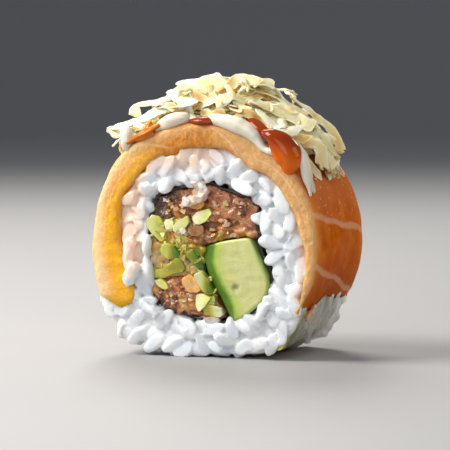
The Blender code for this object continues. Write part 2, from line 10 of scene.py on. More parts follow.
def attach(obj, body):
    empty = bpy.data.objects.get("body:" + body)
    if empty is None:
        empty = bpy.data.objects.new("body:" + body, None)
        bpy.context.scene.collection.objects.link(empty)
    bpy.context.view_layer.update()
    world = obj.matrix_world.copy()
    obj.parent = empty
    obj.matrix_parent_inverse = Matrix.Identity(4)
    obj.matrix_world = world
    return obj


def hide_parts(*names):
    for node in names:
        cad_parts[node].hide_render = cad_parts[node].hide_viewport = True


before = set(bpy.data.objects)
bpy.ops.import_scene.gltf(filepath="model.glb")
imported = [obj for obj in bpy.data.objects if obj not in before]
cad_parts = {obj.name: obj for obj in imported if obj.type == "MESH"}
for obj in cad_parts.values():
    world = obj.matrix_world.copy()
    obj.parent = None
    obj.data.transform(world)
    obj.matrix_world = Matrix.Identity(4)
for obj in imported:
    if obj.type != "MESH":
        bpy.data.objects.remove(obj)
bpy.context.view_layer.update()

# ---- Rice ----
# Cooked short-grain rice, pressed into a thick ring round the filling and cut through at both ends.
# The grains are moist and translucent, stick to each other, and are pressed flat by the knife and the mat.

MM = 0.001
ROLL_MIDDLE = (0.0, 23.5)
# The roll's outline on the cut face: (x, z) in mm, round from the slice's left end over the top.
SLICE_OUTLINE = (
    (-23.4, 11.8), (-24.1, 16.9), (-24.5, 23.0), (-23.8, 29.1), (-22.2, 34.2), (-20.2, 38.1), (-17.6, 41.3),
    (-14.2, 43.7), (-9.7, 45.5), (-4.9, 46.7), (0.0, 47.0), (5.4, 46.4), (10.7, 44.4), (15.0, 41.6),
    (18.5, 38.1), (21.1, 34.3), (23.0, 30.2), (23.9, 26.3), (24.1, 22.3), (23.7, 18.6), (22.6, 14.8),
    (20.9, 11.4),
)
RICE_OUTLINE = (
    (20.3, 8.7), (18.8, 5.5), (16.4, 2.6), (12.6, 0.6), (7.5, 0.1), (2.2, 0.0), (-4.3, 0.0), (-9.8, 0.4),
    (-14.6, 1.9), (-18.6, 4.1), (-21.4, 6.6), (-23.2, 9.4),
)
# The slice's inner edge, where it lies on the rice.
SLICE_INNER_EDGE = (
    (-16.2, 10.6), (-17.0, 12.6), (-16.9, 16.2), (-16.7, 18.4), (-17.6, 20.0), (-18.7, 23.0), (-18.4, 26.3),
    (-18.8, 28.2), (-17.4, 32.6), (-14.6, 35.8), (-12.4, 38.2), (-6.8, 40.6), (0.8, 42.2), (5.0, 41.9),
    (7.9, 39.9), (10.2, 38.0), (13.0, 37.0), (15.3, 34.9), (17.5, 31.9), (19.3, 28.9), (20.3, 24.8),
    (21.3, 21.6), (21.5, 18.3), (21.2, 15.2), (19.6, 11.2),
)
HOLE_MIDDLE = (0.5, 20.9)
HOLE_OUTLINE = (
    (-12.7, 27.8), (-11.2, 32.5), (-6.6, 34.3), (-3.3, 34.7), (0.1, 35.6), (3.6, 34.5), (7.0, 33.5),
    (9.9, 32.3), (11.4, 30.0), (10.9, 27.4), (11.6, 25.2), (12.2, 21.4), (13.6, 19.1), (14.5, 16.5),
    (14.2, 12.8), (12.2, 11.1), (8.9, 8.5), (4.9, 7.1), (1.9, 6.5), (-0.3, 7.1), (-5.5, 8.3), (-9.6, 9.0),
    (-11.7, 9.9), (-12.2, 12.4), (-12.6, 15.7), (-12.9, 21.7),
)
SLICE_ENDS = (-31.0, 204.5)  # degrees round the roll
CUT_FACE = 14.1 * MM  # the cut faces' distance from the middle
GRAIN_SIZE = (5.7 * MM, 2.8 * MM, 2.6 * MM)
RICE_VOXEL = 0.26 * MM
RICE_TRIANGLES = 198000
# Layers of grains behind each cut face: depth, tries at the hole's rim and on the rest of the face, and the
# distance that grains keep there.
GRAIN_LAYERS = (
    (1.0 * MM, 1400, 9000, 1.65 * MM, 1.6 * MM),
    (2.0 * MM, 875, 3500, 1.9 * MM, 1.9 * MM),
    (2.9 * MM, 625, 2500, 1.9 * MM, 1.9 * MM),
)
UNDERSIDE_TRIES = 7000
UNDERSIDE_CLEAR = 2.0 * MM
CORE_DEPTH = 1.4 * MM  # how far the solid core lies behind the cut faces
KNIFE_LEVEL = CUT_FACE - 0.3 * MM  # the mean level at which the knife cut the grains
KNIFE_RANGE = 0.7  # mm between the highest and the lowest cut
UNCUT = 20 * MM  # a level that no grain reaches
PRESSED_FROM = -78  # degrees round the roll, from where the mat pressed the underside smooth
FLOOR_GAP = 0.02 * MM
PEACH_TINT_REACH = 2.6 * MM  # how far the slice's colour reaches into the rice
# How far the grains hang over the hole's edge: (degrees round the hole, mm).
RIM_OVERHANG = (
    (-178, 1.5), (-150, 0.7), (-125, 0.4), (-100, 1.0), (-70, 0.6), (-45, 0.2), (-20, 0.1), (5, 0.0),
    (25, 0.0), (45, 0.3), (65, 0.4), (85, -0.1), (100, 0.3), (120, 0.6), (140, -0.1), (160, 1.1),
)
# Single grains that lie over the slice's edge or the filling: (x, y, z, degrees it leans).
STRAY_GRAINS = (
    (-15.6, -14.8, 16.6, 60), (-16.6, -13.7, 19.6, 80), (-12.5, -13.6, 22.2, 80), (-12.6, -13.4, 17.4, 100),
    (12.4, -13.4, 9.9, 60), (-11.9, -13.4, 9.4, 140), (18.7, 12.4, 8.4, 60), (17.2, 12.6, 6.2, 20),
    (15.2, 12.0, 4.2, 60), (13.2, 12.4, 2.6, 10), (18.0, 5.0, 7.4, 40),
)


def polar_outline(points, middle):
    """Rising angles in degrees and the radii in metres of an outline's points, given in mm."""
    offset = np.array(points) - middle
    turns = np.degrees(np.arctan2(offset[:, 1], offset[:, 0])) % 360
    order = np.argsort(turns)
    return turns[order], np.hypot(offset[:, 0], offset[:, 1])[order] * MM


def radius_at(outline, turns):
    return np.interp(turns, *outline, period=360)


roll_edge = polar_outline(SLICE_OUTLINE + RICE_OUTLINE, ROLL_MIDDLE)
slice_inner = polar_outline(SLICE_INNER_EDGE, ROLL_MIDDLE)
hole_edge = polar_outline(HOLE_OUTLINE, HOLE_MIDDLE)


def polar(points, middle):
    """Angle in degrees and radius of (n, 3) points about an axis that runs along Y."""
    x, z = points[:, 0] - middle[0] * MM, points[:, 2] - middle[1] * MM
    return np.degrees(np.arctan2(z, x)), np.hypot(x, z)


def on_roll(turns, radii, along, middle=ROLL_MIDDLE):
    """Points from angles in degrees, radii about a middle, and places along the roll."""
    turns, radii, along = np.broadcast_arrays(np.radians(turns), radii, along)
    x = middle[0] * MM + radii * np.cos(turns)
    z = middle[1] * MM + radii * np.sin(turns)
    return np.stack([x, along, z], axis=-1)


def ramp(values, start, stretch):
    """0 up to the start and 1 a stretch further on; a negative stretch runs the other way."""
    return np.clip((values - start) / stretch, 0, 1)


def out_of_roll(turn):
    """The direction straight out of the roll at an angle."""
    return on_roll(turn, 1.0, 0) - on_roll(turn, 0.0, 0)


def under_slice(turns):
    turns = (turns + 90) % 360 - 90
    return (turns > SLICE_ENDS[0]) & (turns < SLICE_ENDS[1])


def rice_room(points):
    """How far each point is inside the rice's cross-section; negative outside."""
    turns, radii = polar(points, ROLL_MIDDLE)
    under = radius_at(slice_inner, turns) + 0.4 * MM
    outer = np.where(under_slice(turns), under, radius_at(roll_edge, turns))
    around, from_hole = polar(points, HOLE_MIDDLE)
    return np.minimum(outer - radii, from_hole - radius_at(hole_edge, around))


def lumps(points, size, seed):
    """Smooth random values from -1 to 1, one for each point, in lumps of a size."""
    spots = points / size + seed * 7.31
    cells = np.floor(spots)
    part = spots - cells
    part = part * part * (3 - 2 * part)
    total = np.zeros(len(points))
    for corner in np.ndindex(2, 2, 2):
        mixed = np.sin((cells + corner) @ np.array((127.1, 311.7, 74.7))) * 43758.5453
        total += (mixed - np.floor(mixed)) * np.prod(np.where(corner, part, 1 - part), axis=1)
    return total * 2 - 1


def sway(points, size, seed):
    """Smooth random shifts along x, y and z, one for each point."""
    return np.stack([lumps(points, size, seed + k) for k in range(3)], axis=-1)


def piece(name, verts, faces):
    """A linked smooth mesh object from vertices and faces."""
    mesh = bpy.data.meshes.new(name)
    mesh.from_pydata([tuple(v) for v in verts], [], [tuple(f) for f in faces])
    mesh.validate()
    mesh.shade_smooth()
    obj = bpy.data.objects.new(name, mesh)
    bpy.context.scene.collection.objects.link(obj)
    return obj


def face_outwards(obj):
    bm = bmesh.new()
    bm.from_mesh(obj.data)
    bmesh.ops.recalc_face_normals(bm, faces=bm.faces)
    bm.to_mesh(obj.data)
    bm.free()


def positions(obj):
    coords = np.empty(len(obj.data.vertices) * 3)
    obj.data.vertices.foreach_get("co", coords)
    return coords.reshape(-1, 3)


def set_positions(obj, coords):
    obj.data.vertices.foreach_set("co", np.ascontiguousarray(coords).ravel())
    obj.data.update()


def normals(obj):
    found = np.empty(len(obj.data.vertices) * 3)
    obj.data.vertices.foreach_get("normal", found)
    return found.reshape(-1, 3)


def apply_modifiers(obj):
    bpy.context.view_layer.update()
    graph = bpy.context.evaluated_depsgraph_get()
    made = bpy.data.meshes.new_from_object(obj.evaluated_get(graph))
    obj.modifiers.clear()
    old, obj.data = obj.data, made
    bpy.data.meshes.remove(old)


def melt(obj, voxel):
    """Makes one skin of overlapping closed shapes."""
    remesh = obj.modifiers.new("melt", "REMESH")
    remesh.mode = "VOXEL"
    remesh.voxel_size = voxel
    remesh.use_smooth_shade = True
    apply_modifiers(obj)


def relaxed(obj, coords, rounds, share=0.5):
    """Vertex places after each has moved part of the way to its neighbours' mean, some times over."""
    edges = np.empty(len(obj.data.edges) * 2, dtype=np.int64)
    obj.data.edges.foreach_get("vertices", edges)
    one, two = edges.reshape(-1, 2).T
    count = len(coords)
    shared = np.maximum(np.bincount(one, minlength=count) + np.bincount(two, minlength=count), 1)[:, None]
    for _ in range(rounds):
        mean = np.empty_like(coords)
        for axis in range(3):
            values = coords[:, axis]
            mean[:, axis] = np.bincount(one, values[two], count) + np.bincount(two, values[one], count)
        coords = coords + (mean / shared - coords) * share
    return coords


def set_values(obj, name, values):
    """Stores one number for each vertex under a name that the material reads."""
    layer = obj.data.attributes.new(name, "FLOAT", "POINT")
    layer.data.foreach_set("value", np.ascontiguousarray(values, dtype=np.float32))


def set_creases(obj, reach, rounds):
    """Stores how deep each vertex lies in a crease, from 0 to 1 at the given depth."""
    coords = positions(obj)
    depth = np.einsum("ij,ij->i", relaxed(obj, coords, rounds) - coords, normals(obj))
    set_values(obj, "crease", np.clip(depth / reach, 0, 1))


def taken_out(bm):
    """The vertices and faces of a bmesh of triangles, which is then freed."""
    verts = np.array([v.co[:] for v in bm.verts])
    faces = np.array([[v.index for v in f.verts] for f in bm.faces])
    bm.free()
    return verts, faces


def ball(steps):
    """Vertices and faces of a ball of radius 1 made of triangles."""
    bm = bmesh.new()
    bmesh.ops.create_icosphere(bm, subdivisions=steps, radius=1)
    return taken_out(bm)


def many(shape, places):
    """Copies of a shape: vertices and faces for a list of 4 by 4 matrices."""
    verts, faces = shape
    padded = np.hstack([verts, np.ones((len(verts), 1))])
    all_verts = np.concatenate([(padded @ place.T)[:, :3] for place in places])
    all_faces = np.concatenate([faces + i * len(verts) for i in range(len(places))])
    return all_verts, all_faces


def joined(shapes):
    """One list of vertices and one of faces from several."""
    verts, faces, start = [], [], 0
    for some_verts, some_faces in shapes:
        verts.append(some_verts)
        faces += [tuple(int(i) + start for i in face) for face in some_faces]
        start += len(some_verts)
    return np.concatenate(verts), faces


def tube(rings, closed=True):
    """Skins a row of rings of points into quads; each ring is an (n, 3) array."""
    count = len(rings[0])
    verts = np.concatenate(rings)
    faces = []
    for i in range(len(rings) if closed else len(rings) - 1):
        one, two = i * count, (i + 1) % len(rings) * count
        for j in range(count):
            k = (j + 1) % count
            faces.append((one + j, one + k, two + k, two + j))
    return verts, faces


def capped_tube(rings):
    """The same with both ends shut."""
    verts, faces = tube(rings, closed=False)
    count = len(rings[0])
    return verts, faces + [tuple(range(count)), tuple(reversed(range(len(verts) - count, len(verts))))]


def placed(spot, along, out, size):
    """A matrix that lays a unit ball at a spot, its length one way and its back another."""
    along = Vector(along).normalized()
    across = Vector(out).cross(along).normalized()
    turn = np.array((along, across, along.cross(across))).T
    place = np.eye(4)
    place[:3, :3] = turn * (np.array(size) / 2)
    place[:3, 3] = spot
    return place


def lay_grains(draw, tries, spot_at, lie_at, fits, clear, taken):
    """Lays grains at random wherever they fit and clear each other. Returns their centres and directions."""
    laid = []
    for _ in range(tries):
        spot = spot_at(draw)
        along = lie_at(draw, spot)
        three = spot + np.outer((-0.31, 0, 0.31), along) * GRAIN_SIZE[0]
        if fits and not fits(three):
            continue
        if len(taken) and (np.linalg.norm(np.array(taken)[:, None] - three, axis=2) < clear).any():
            continue
        taken += list(three)
        laid.append((spot, along))
    return laid


def face_spot(depth, side):
    def spot_at(draw):
        x, z = draw.uniform(-24, 24) * MM, draw.uniform(0, 45) * MM
        return np.array((x, side * (CUT_FACE - depth + draw.uniform(-0.35, 0.45) * MM), z))

    return spot_at


def rim_spot(depth, side):
    def spot_at(draw):
        turn = draw.uniform(0, 360)
        over = radius_at(rim_overhang, turn) * MM
        wall = radius_at(hole_edge, turn) + 1.5 * MM - over + draw.uniform(0, 0.5) * MM
        x = HOLE_MIDDLE[0] * MM + wall * math.cos(math.radians(turn))
        z = HOLE_MIDDLE[1] * MM + wall * math.sin(math.radians(turn))
        return np.array((x, side * (CUT_FACE - depth + draw.uniform(-0.3, 0.3) * MM), z))

    return spot_at


def tipped(turn, tip):
    """A direction across the roll, tipped along it; both angles in radians."""
    return np.array((math.cos(turn) * math.cos(tip), math.sin(tip), math.sin(turn) * math.cos(tip)))


def face_lie(draw, spot):
    turn = draw.uniform(0, math.tau)
    return tipped(turn, draw.uniform(-0.55, 0.55))


def rim_lie(draw, spot):
    """Along the hole's edge, give or take, with one grain in three pointing across it."""
    turn = math.atan2(spot[2] - HOLE_MIDDLE[1] * MM, spot[0] - HOLE_MIDDLE[0] * MM) + math.pi / 2
    turn += draw.uniform(-0.6, 0.6) + (math.pi / 2 if draw.random() < 0.33 else 0)
    return tipped(turn, draw.uniform(-0.4, 0.4))


def on_face(three):
    return (rice_room(three) > np.array((0.1, 1.1, 0.1)) * MM).all()


def on_rim(three):
    around, from_hole = polar(three, HOLE_MIDDLE)
    return (from_hole > radius_at(hole_edge, around) - 0.7 * MM).all()


def under_spot(draw):
    turn = draw.uniform(SLICE_ENDS[1] - 360 + 5, SLICE_ENDS[0] - 3)
    radius = radius_at(roll_edge, turn) - 1.15 * MM
    return on_roll(turn, radius, draw.uniform(-12.6, 12.6) * MM)


def under_lie(draw, spot):
    turn, lie = math.atan2(spot[2] - ROLL_MIDDLE[1] * MM, spot[0]), draw.uniform(0, math.pi)
    return np.array((-math.sin(turn) * math.cos(lie), math.sin(lie), math.cos(turn) * math.cos(lie)))


draw = np.random.default_rng(41)
rim_overhang = np.array(RIM_OVERHANG).T
grain_shape = ball(2)
grain_shape[0][:, 0] = np.sign(grain_shape[0][:, 0]) * np.abs(grain_shape[0][:, 0]) ** 0.85
laid = [(np.array(spot) * MM, tipped(math.radians(lean), 0)) for *spot, lean in STRAY_GRAINS]
for side in (-1, 1):
    taken = [spot for spot, _ in laid if side * spot[1] > 0]
    for depth, rim_tries, face_tries, rim_clear, face_clear in GRAIN_LAYERS:
        laid += lay_grains(draw, rim_tries, rim_spot(depth, side), rim_lie, on_rim, rim_clear, taken)
        laid += lay_grains(draw, face_tries, face_spot(depth, side), face_lie, on_face, face_clear, taken)
        taken = []
taken = [spot for spot, _ in laid]
laid += lay_grains(draw, UNDERSIDE_TRIES, under_spot, under_lie, None, UNDERSIDE_CLEAR, taken)
grain_places = []
for spot, along in laid:
    out = spot - np.array((0, 0, ROLL_MIDDLE[1] * MM)) if abs(spot[1]) < 11 * MM else (0.1, 1, 0.1)
    size = np.array(GRAIN_SIZE) * draw.uniform(0.85, 1.12) * draw.uniform(0.93, 1.07, 3)
    grain_places.append(placed(spot, along, out, size))
grain_verts, grain_faces = many(grain_shape, grain_places)
grain_verts += sway(grain_verts, 2.1 * MM, 31) * 0.45 * MM
grain_verts += sway(grain_verts, 0.9 * MM, 34) * 0.14 * MM

# The core that the grains lie on: a ring, a little inside them all round.
turns = np.arange(0, 360, 3.0)
wall = radius_at(hole_edge, turns) + 0.5 * MM
outer = np.where(under_slice(turns), radius_at(slice_inner, turns), radius_at(roll_edge, turns) - 1.0 * MM)
end = CUT_FACE - CORE_DEPTH
rings = [on_roll(turns, wall, -end, HOLE_MIDDLE), on_roll(turns, outer, -end)]
rings += [on_roll(turns, outer, end), on_roll(turns, wall, end, HOLE_MIDDLE)]
rice = piece("rice_ring", *joined([(grain_verts, grain_faces), tube(rings)]))
face_outwards(rice)
melt(rice, RICE_VOXEL)
coords = relaxed(rice, positions(rice), 1, 0.35)
grain_tree = KDTree(3 * len(laid))
for i, (spot, along) in enumerate(laid):
    for share in (-0.3, 0, 0.3):
        grain_tree.insert(spot + np.array(along) * share * GRAIN_SIZE[0], i)
grain_tree.balance()
shades = draw.random(len(laid))
nearest = np.array([grain_tree.find(spot)[1] for spot in coords])
# The knife cut the grains of both faces flat, each at a slightly different level.
levels = KNIFE_LEVEL + (draw.random(len(laid)) - 0.5) * KNIFE_RANGE * MM
levels[: len(STRAY_GRAINS)] = UNCUT
tilts = draw.uniform(-0.3, 0.3, (len(laid), 2))
centres = np.array([spot for spot, _ in laid])
from_centre = (coords - centres[nearest])[:, [0, 2]]
level = levels[nearest] + (from_centre * tilts[nearest]).sum(axis=1)
for side in (-1, 1):
    coords[:, 1] -= side * np.maximum(side * coords[:, 1] - level, 0) * 0.85
coords = relaxed(rice, coords, 1, 0.2)
turns, radii = polar(coords, ROLL_MIDDLE)
# The mat pressed the underside smooth at the right.
pressed = ramp(turns, PRESSED_FROM, 14) * np.clip((SLICE_ENDS[0] - turns) / 8 + 0.6, 0, 1)
pressed *= ramp(np.abs(coords[:, 1]), 13.4 * MM, -1.5 * MM)
panel = radius_at(roll_edge, turns) - 0.5 * MM + lumps(coords * (1, 0.45, 1), 3.5 * MM, 4) * 0.45 * MM
share = pressed * (radii > panel - 1.6 * MM) * 0.72
coords += (on_roll(turns, panel, coords[:, 1]) - coords) * share[:, None]
# Its own weight flattened it where it rests.
coords[:, 2] = np.maximum(coords[:, 2], FLOOR_GAP)
coords += lumps(coords, 1.2 * MM, 3)[:, None] * normals(rice) * 0.05 * MM
coords[:, 2] = np.maximum(coords[:, 2], FLOOR_GAP)
set_positions(rice, coords)
set_creases(rice, 0.2 * MM, 6)
set_values(rice, "shade", shades[nearest])
turns, radii = polar(coords, ROLL_MIDDLE)
near_slice = 1 - ramp(radius_at(slice_inner, turns) - radii, 0, PEACH_TINT_REACH)
peach_near_slice = near_slice * under_slice(turns) * np.clip((turns % 360 - 40) / 60, 0.25, 1)
# The same peach tint also covers the whole of the ring's left side and the left of its top.
x, _, z = coords.T
left_peach = ramp(x, -12 * MM, -3 * MM) * ramp(z, 14 * MM, 5 * MM)
top_peach = ramp(z, 36 * MM, 4 * MM) * ramp(x, 7 * MM, -9 * MM)
set_values(rice, "peach_tint", np.maximum(peach_near_slice, np.maximum(left_peach, top_peach)))
# The pressed share, weaker towards the back, also places the painted shade and reflection of the underside.
set_values(rice, "pressed", pressed * np.clip((10.5 * MM - coords[:, 1]) / (3 * MM), 0.15, 1))
fewer = rice.modifiers.new("fewer", "DECIMATE")
fewer.ratio = min(1.0, RICE_TRIANGLES / (2 * len(rice.data.polygons)))
apply_modifiers(rice)
rice.data.shade_smooth()


def node(tree, kind, inputs=(), **settings):
    """Adds a shader node; an input is a number, a colour or another node's output."""
    made = tree.nodes.new("ShaderNode" + kind)
    for key, value in settings.items():
        setattr(made, key, value)
    for key, value in dict(inputs).items():
        if isinstance(value, bpy.types.NodeSocket):
            tree.links.new(value, made.inputs[key])
        else:
            made.inputs[key].default_value = value
    return made


def worked(tree, operation, *values):
    """The output of a maths node."""
    return node(tree, "Math", enumerate(values), operation=operation).outputs[0]


def on_surface(tree):
    return node(tree, "TexCoord").outputs["Object"]


def axis_place(tree, axis):
    """Where a spot lies along an axis, in metres."""
    return node(tree, "SeparateXYZ", {"Vector": on_surface(tree)}).outputs[axis]


def mottle_group():
    """Two sizes of irregular cloud over a surface, and their sum as a height."""
    tree = bpy.data.node_groups.new("mottle", "ShaderNodeTree")
    for name in ("Large per metre", "Small per metre"):
        tree.interface.new_socket(name, in_out="INPUT", socket_type="NodeSocketFloat")
    for name in ("Large", "Small", "Height"):
        tree.interface.new_socket(name, in_out="OUTPUT", socket_type="NodeSocketFloat")
    ins, outs = tree.nodes.new("NodeGroupInput"), tree.nodes.new("NodeGroupOutput")
    clouds = []
    for size, detail, roughness in ((0, 3.0, 0.55), (1, 4.0, 0.6)):
        inputs = {"Scale": ins.outputs[size], "Detail": detail, "Roughness": roughness}
        inputs["Vector"] = on_surface(tree)
        clouds.append(node(tree, "TexNoise", inputs).outputs["Fac"])
    for name, value in zip(("Large", "Small", "Height"), (*clouds, worked(tree, "ADD", *clouds))):
        tree.links.new(value, outs.inputs[name])
    return tree


mottle = mottle_group()


def mottled(tree, large, small):
    made = tree.nodes.new("ShaderNodeGroup")
    made.node_tree = mottle
    made.inputs[0].default_value = 1 / large
    made.inputs[1].default_value = 1 / small
    return made.outputs


def new_material(name, **shader_values):
    """A material with its Principled shader's own values set. Returns its tree and the shader too."""
    made = bpy.data.materials.new(name)
    made.use_nodes = True
    shader = made.node_tree.nodes["Principled BSDF"]
    for key, value in shader_values.items():
        shader.inputs[key.replace("_", " ")].default_value = value
    return made, made.node_tree, shader


def eased(tree, value, low, high, out_low=0.0, out_high=1.0):
    """Maps a value from one range to another, with soft ends."""
    inputs = {"Value": value, "From Min": low, "From Max": high, "To Min": out_low, "To Max": out_high}
    return node(tree, "MapRange", inputs, interpolation_type="SMOOTHSTEP").outputs["Result"]


def blended(tree, share, one, two):
    """One colour over another by a share."""
    inputs = {0: share, 6: one, 7: two}
    return node(tree, "Mix", inputs, data_type="RGBA").outputs[2]


def layered(tree, colour, layers):
    """Lays colours over one. Each grows from its least to its most share as a value goes from low to high."""
    for value, low, high, least, most, laid_on in layers:
        colour = blended(tree, eased(tree, value, low, high, least, most), colour, (*laid_on, 1))
    return colour


def stored(tree, name):
    """A value that was stored on the mesh's vertices."""
    return node(tree, "Attribute", attribute_name=name).outputs["Fac"]


def bumped(tree, height, strength, distance):
    inputs = {"Height": height, "Strength": strength, "Distance": distance}
    return node(tree, "Bump", inputs).outputs["Normal"]


def paint(tree, shader, **sockets):
    for key, value in sockets.items():
        tree.links.new(value, shader.inputs[key.replace("_", " ")])


def paint_moist(tree, shader, colour, patches, rough, relief, bump):
    """Colour, a roughness that follows the patches (from, to, roughness at both) and relief."""
    roughness = eased(tree, patches, *rough)
    paint(tree, shader, Base_Color=colour, Roughness=roughness, Normal=bumped(tree, relief, *bump))


rice_look, tree, shader = new_material(
    "moist_rice",
    Subsurface_Weight=0.8,
    Subsurface_Scale=0.0018,
    Coat_Weight=0.5,
    Coat_Roughness=0.08,
    IOR=1.4,
)
shader.inputs["Subsurface Radius"].default_value = (1.0, 0.9, 0.8)
cloud = mottled(tree, 2.4 * MM, 0.5 * MM)
grains = blended(tree, stored(tree, "shade"), (0.86, 0.865, 0.86, 1), (0.72, 0.745, 0.77, 1))
layers = (
    (cloud["Large"], 0.5, 0.75, 0, 0.5, (0.62, 0.67, 0.72)),
    (stored(tree, "peach_tint"), 0.05, 1.0, 0, 0.7, (0.91, 0.62, 0.42)),
    # Painted shade: the rice turns grey where it lies in creases between the grains.
    (stored(tree, "crease"), 0.15, 1.0, 0, 0.5, (0.46, 0.47, 0.48)),
)
grains = layered(tree, grains, layers)
# Painted shade with a painted reflection on the pressed underside: olive strips, one behind the other, over
# an olive-grey tone.
back = worked(tree, "MULTIPLY_ADD", cloud["Large"], 0.006, axis_place(tree, "Y"))
shade_strips = (
    (back, -8.5 * MM, -7.5 * MM, 0, 1, (0.30, 0.31, 0.12)),
    (back, -6.5 * MM, -4.5 * MM, 0, 1, (0.42, 0.43, 0.36)),
)
underside_shade = layered(tree, (0.76, 0.74, 0.60, 1), shade_strips)
grains = blended(tree, eased(tree, stored(tree, "pressed"), 0.2, 1.0, 0.0, 0.85), grains, underside_shade)
paint_moist(tree, shader, grains, cloud["Small"], (0.3, 0.7, 0.2, 0.4), cloud["Small"], (0.25, 0.0003))
rice.data.materials.append(rice_look)
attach(rice, "root")
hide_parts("rice")

# ---- Nori ----
# One sheet of roasted seaweed, rolled into a tube between the rice and the filling. Damp, it is nearly
# black, and its cut edge is thin, wavy and a little torn.

NORI_INSET = 0.3 * MM
NORI_THICKNESS = 0.5 * MM
NORI_HALF_LENGTH = 12.7 * MM

turns = np.arange(0, 360, 1.5)
rings = []
shares = np.linspace(-1, 1, 13)
for inset, share in [(0, s) for s in shares] + [(1, s) for s in shares[::-1]]:
    spots = np.cos(np.radians(turns)), np.full(len(turns), share), np.sin(np.radians(turns))
    spots = np.stack(spots, axis=-1)
    torn = lumps(spots * 12, 1.0, 5) * 0.35 * MM + lumps(spots * 30, 1.0, 6) * 0.15 * MM
    wave = lumps(spots * (7, 1.5, 7), 1.0, 8) * 0.22 * MM
    wall = radius_at(hole_edge, turns) - NORI_INSET - inset * NORI_THICKNESS + wave
    rings.append(on_roll(turns, wall, share * (NORI_HALF_LENGTH + torn), HOLE_MIDDLE))
nori = piece("nori_sheet", *tube(rings))
nori_look, tree, shader = new_material("damp_nori", Roughness=0.4, Coat_Weight=0.2, Coat_Roughness=0.2)
cloud = mottled(tree, 2.0 * MM, 0.35 * MM)
brown = (cloud["Large"], 0.35, 0.7, 0, 1, (0.03, 0.02, 0.012))
sheet = layered(tree, (0.006, 0.006, 0.005, 1), (brown,))
paint(tree, shader, Base_Color=sheet, Normal=bumped(tree, cloud["Height"], 0.6, 0.0004))
nori.data.materials.append(nori_look)
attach(nori, "root")
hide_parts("nori")

# ---- Chopped salmon ----
# Raw salmon chopped fine and dressed, pressed into two lumps above and below the spring onion. The bits
# differ in colour from dark brown to orange and shine where the dressing lies on them.

MINCE_VOXEL = 0.25 * MM
MINCE_FACE = 13.0 * MM  # the fillings' cut faces' distance from the middle
SMALL_BITS = 90  # on each face, between the ones below
BIT_HALF_DEPTH = 1.1  # mm
TOP_LUMP = (
    (10.2, 24.2), (11.0, 26.1), (11.0, 28.4), (10.6, 30.6), (9.4, 31.9), (7.3, 32.6), (5.1, 33.4),
    (3.0, 34.2), (0.8, 34.6), (-1.6, 34.6), (-3.5, 34.2), (-5.1, 33.6), (-7.1, 33.7), (-8.9, 32.7),
    (-10.7, 32.2), (-12.0, 30.6), (-12.4, 28.4), (-12.5, 24.6), (-8.9, 23.4), (-5.4, 22.4), (-0.8, 22.0),
    (0.4, 22.9), (4.6, 23.9), (9.4, 24.6),
)
BOTTOM_LUMP = (
    (-12.0, 12.0), (-11.6, 14.1), (-11.0, 15.0), (-6.2, 16.2), (-3.5, 16.6), (-1.6, 16.2), (1.2, 13.1),
    (3.0, 10.0), (4.2, 8.2), (2.4, 7.4), (0.3, 7.4), (-1.3, 7.9), (-5.4, 8.9), (-10.2, 9.6), (-11.6, 10.4),
)
# Bits that stand out: (x, z, half width, half height, how far they stand out, tint from dark to pale).
TOP_BITS = (
    (-10.2, 30.8, 2.2, 1.8, -0.3, 0.04), (-7.6, 32.0, 2.0, 1.4, -0.1, 0.10),
    (-5.4, 32.4, 1.6, 1.3, 0.0, 0.40), (-6.8, 30.2, 2.2, 1.6, 0.1, 0.20),
    (-9.8, 28.9, 1.8, 1.2, -0.2, 0.02), (-5.0, 29.2, 1.6, 1.2, 0.1, 0.32), (1.6, 31.6, 2.0, 1.9, 0.5, 0.44),
    (4.2, 32.0, 2.0, 1.6, 0.3, 0.38), (6.8, 31.0, 2.2, 1.6, 0.2, 0.34), (9.4, 29.8, 1.8, 2.2, 0.2, 0.36),
    (3.4, 29.4, 2.4, 1.8, 0.6, 0.46), (6.6, 28.6, 2.4, 1.9, 0.5, 0.40), (9.0, 26.9, 2.2, 1.7, 0.3, 0.38),
    (10.2, 25.6, 1.5, 1.6, 0.1, 0.44), (1.2, 27.2, 2.0, 1.8, 0.5, 0.42), (4.6, 26.6, 2.4, 1.6, 0.6, 0.47),
    (7.0, 25.6, 2.0, 1.0, 0.5, 0.60), (3.0, 25.1, 2.0, 1.0, 0.6, 0.70), (-0.4, 24.6, 1.8, 1.5, 0.4, 0.45),
    (9.2, 25.0, 1.4, 0.8, 0.3, 0.78), (1.0, 23.6, 1.6, 0.9, 0.4, 0.50), (-1.9, 25.4, 1.9, 1.2, 0.7, 0.30),
    (-1.8, 30.7, 1.9, 0.9, 0.5, 0.80), (-3.4, 27.4, 1.6, 1.3, -0.1, 0.30),
    (-4.4, 24.4, 2.2, 1.3, 0.1, 0.72), (-6.8, 24.4, 1.8, 1.3, 0.0, 0.80), (-2.6, 23.4, 1.6, 0.9, 0.2, 0.62),
    (-8.6, 28.2, 1.4, 0.9, -0.1, 0.24), (-5.6, 27.6, 1.3, 1.0, -0.1, 0.75),
)
BOTTOM_BITS = (
    (-9.2, 12.6, 2.2, 1.7, 0.2, 0.45), (-7.0, 14.6, 2.2, 1.6, 0.4, 0.48), (-5.4, 12.6, 2.2, 1.8, 0.5, 0.46),
    (-2.9, 14.7, 1.9, 1.5, 0.7, 0.84), (-3.0, 12.2, 2.0, 1.6, 0.3, 0.58), (-6.2, 10.6, 2.2, 1.4, 0.2, 0.40),
    (-3.0, 9.9, 2.2, 1.4, 0.3, 0.46), (-9.4, 10.6, 1.8, 1.0, -0.2, 0.08),
    (-0.4, 11.0, 1.6, 1.5, -0.1, 0.52), (-0.8, 8.9, 1.8, 1.0, 0.0, 0.42), (-5.0, 10.9, 1.2, 0.9, 0.5, 0.74),
    (-11.0, 13.4, 1.1, 1.3, 0.1, 0.5), (1.0, 12.2, 1.4, 1.2, -0.2, 0.60), (-8.2, 11.2, 1.2, 1.0, 0.2, 0.36),
)


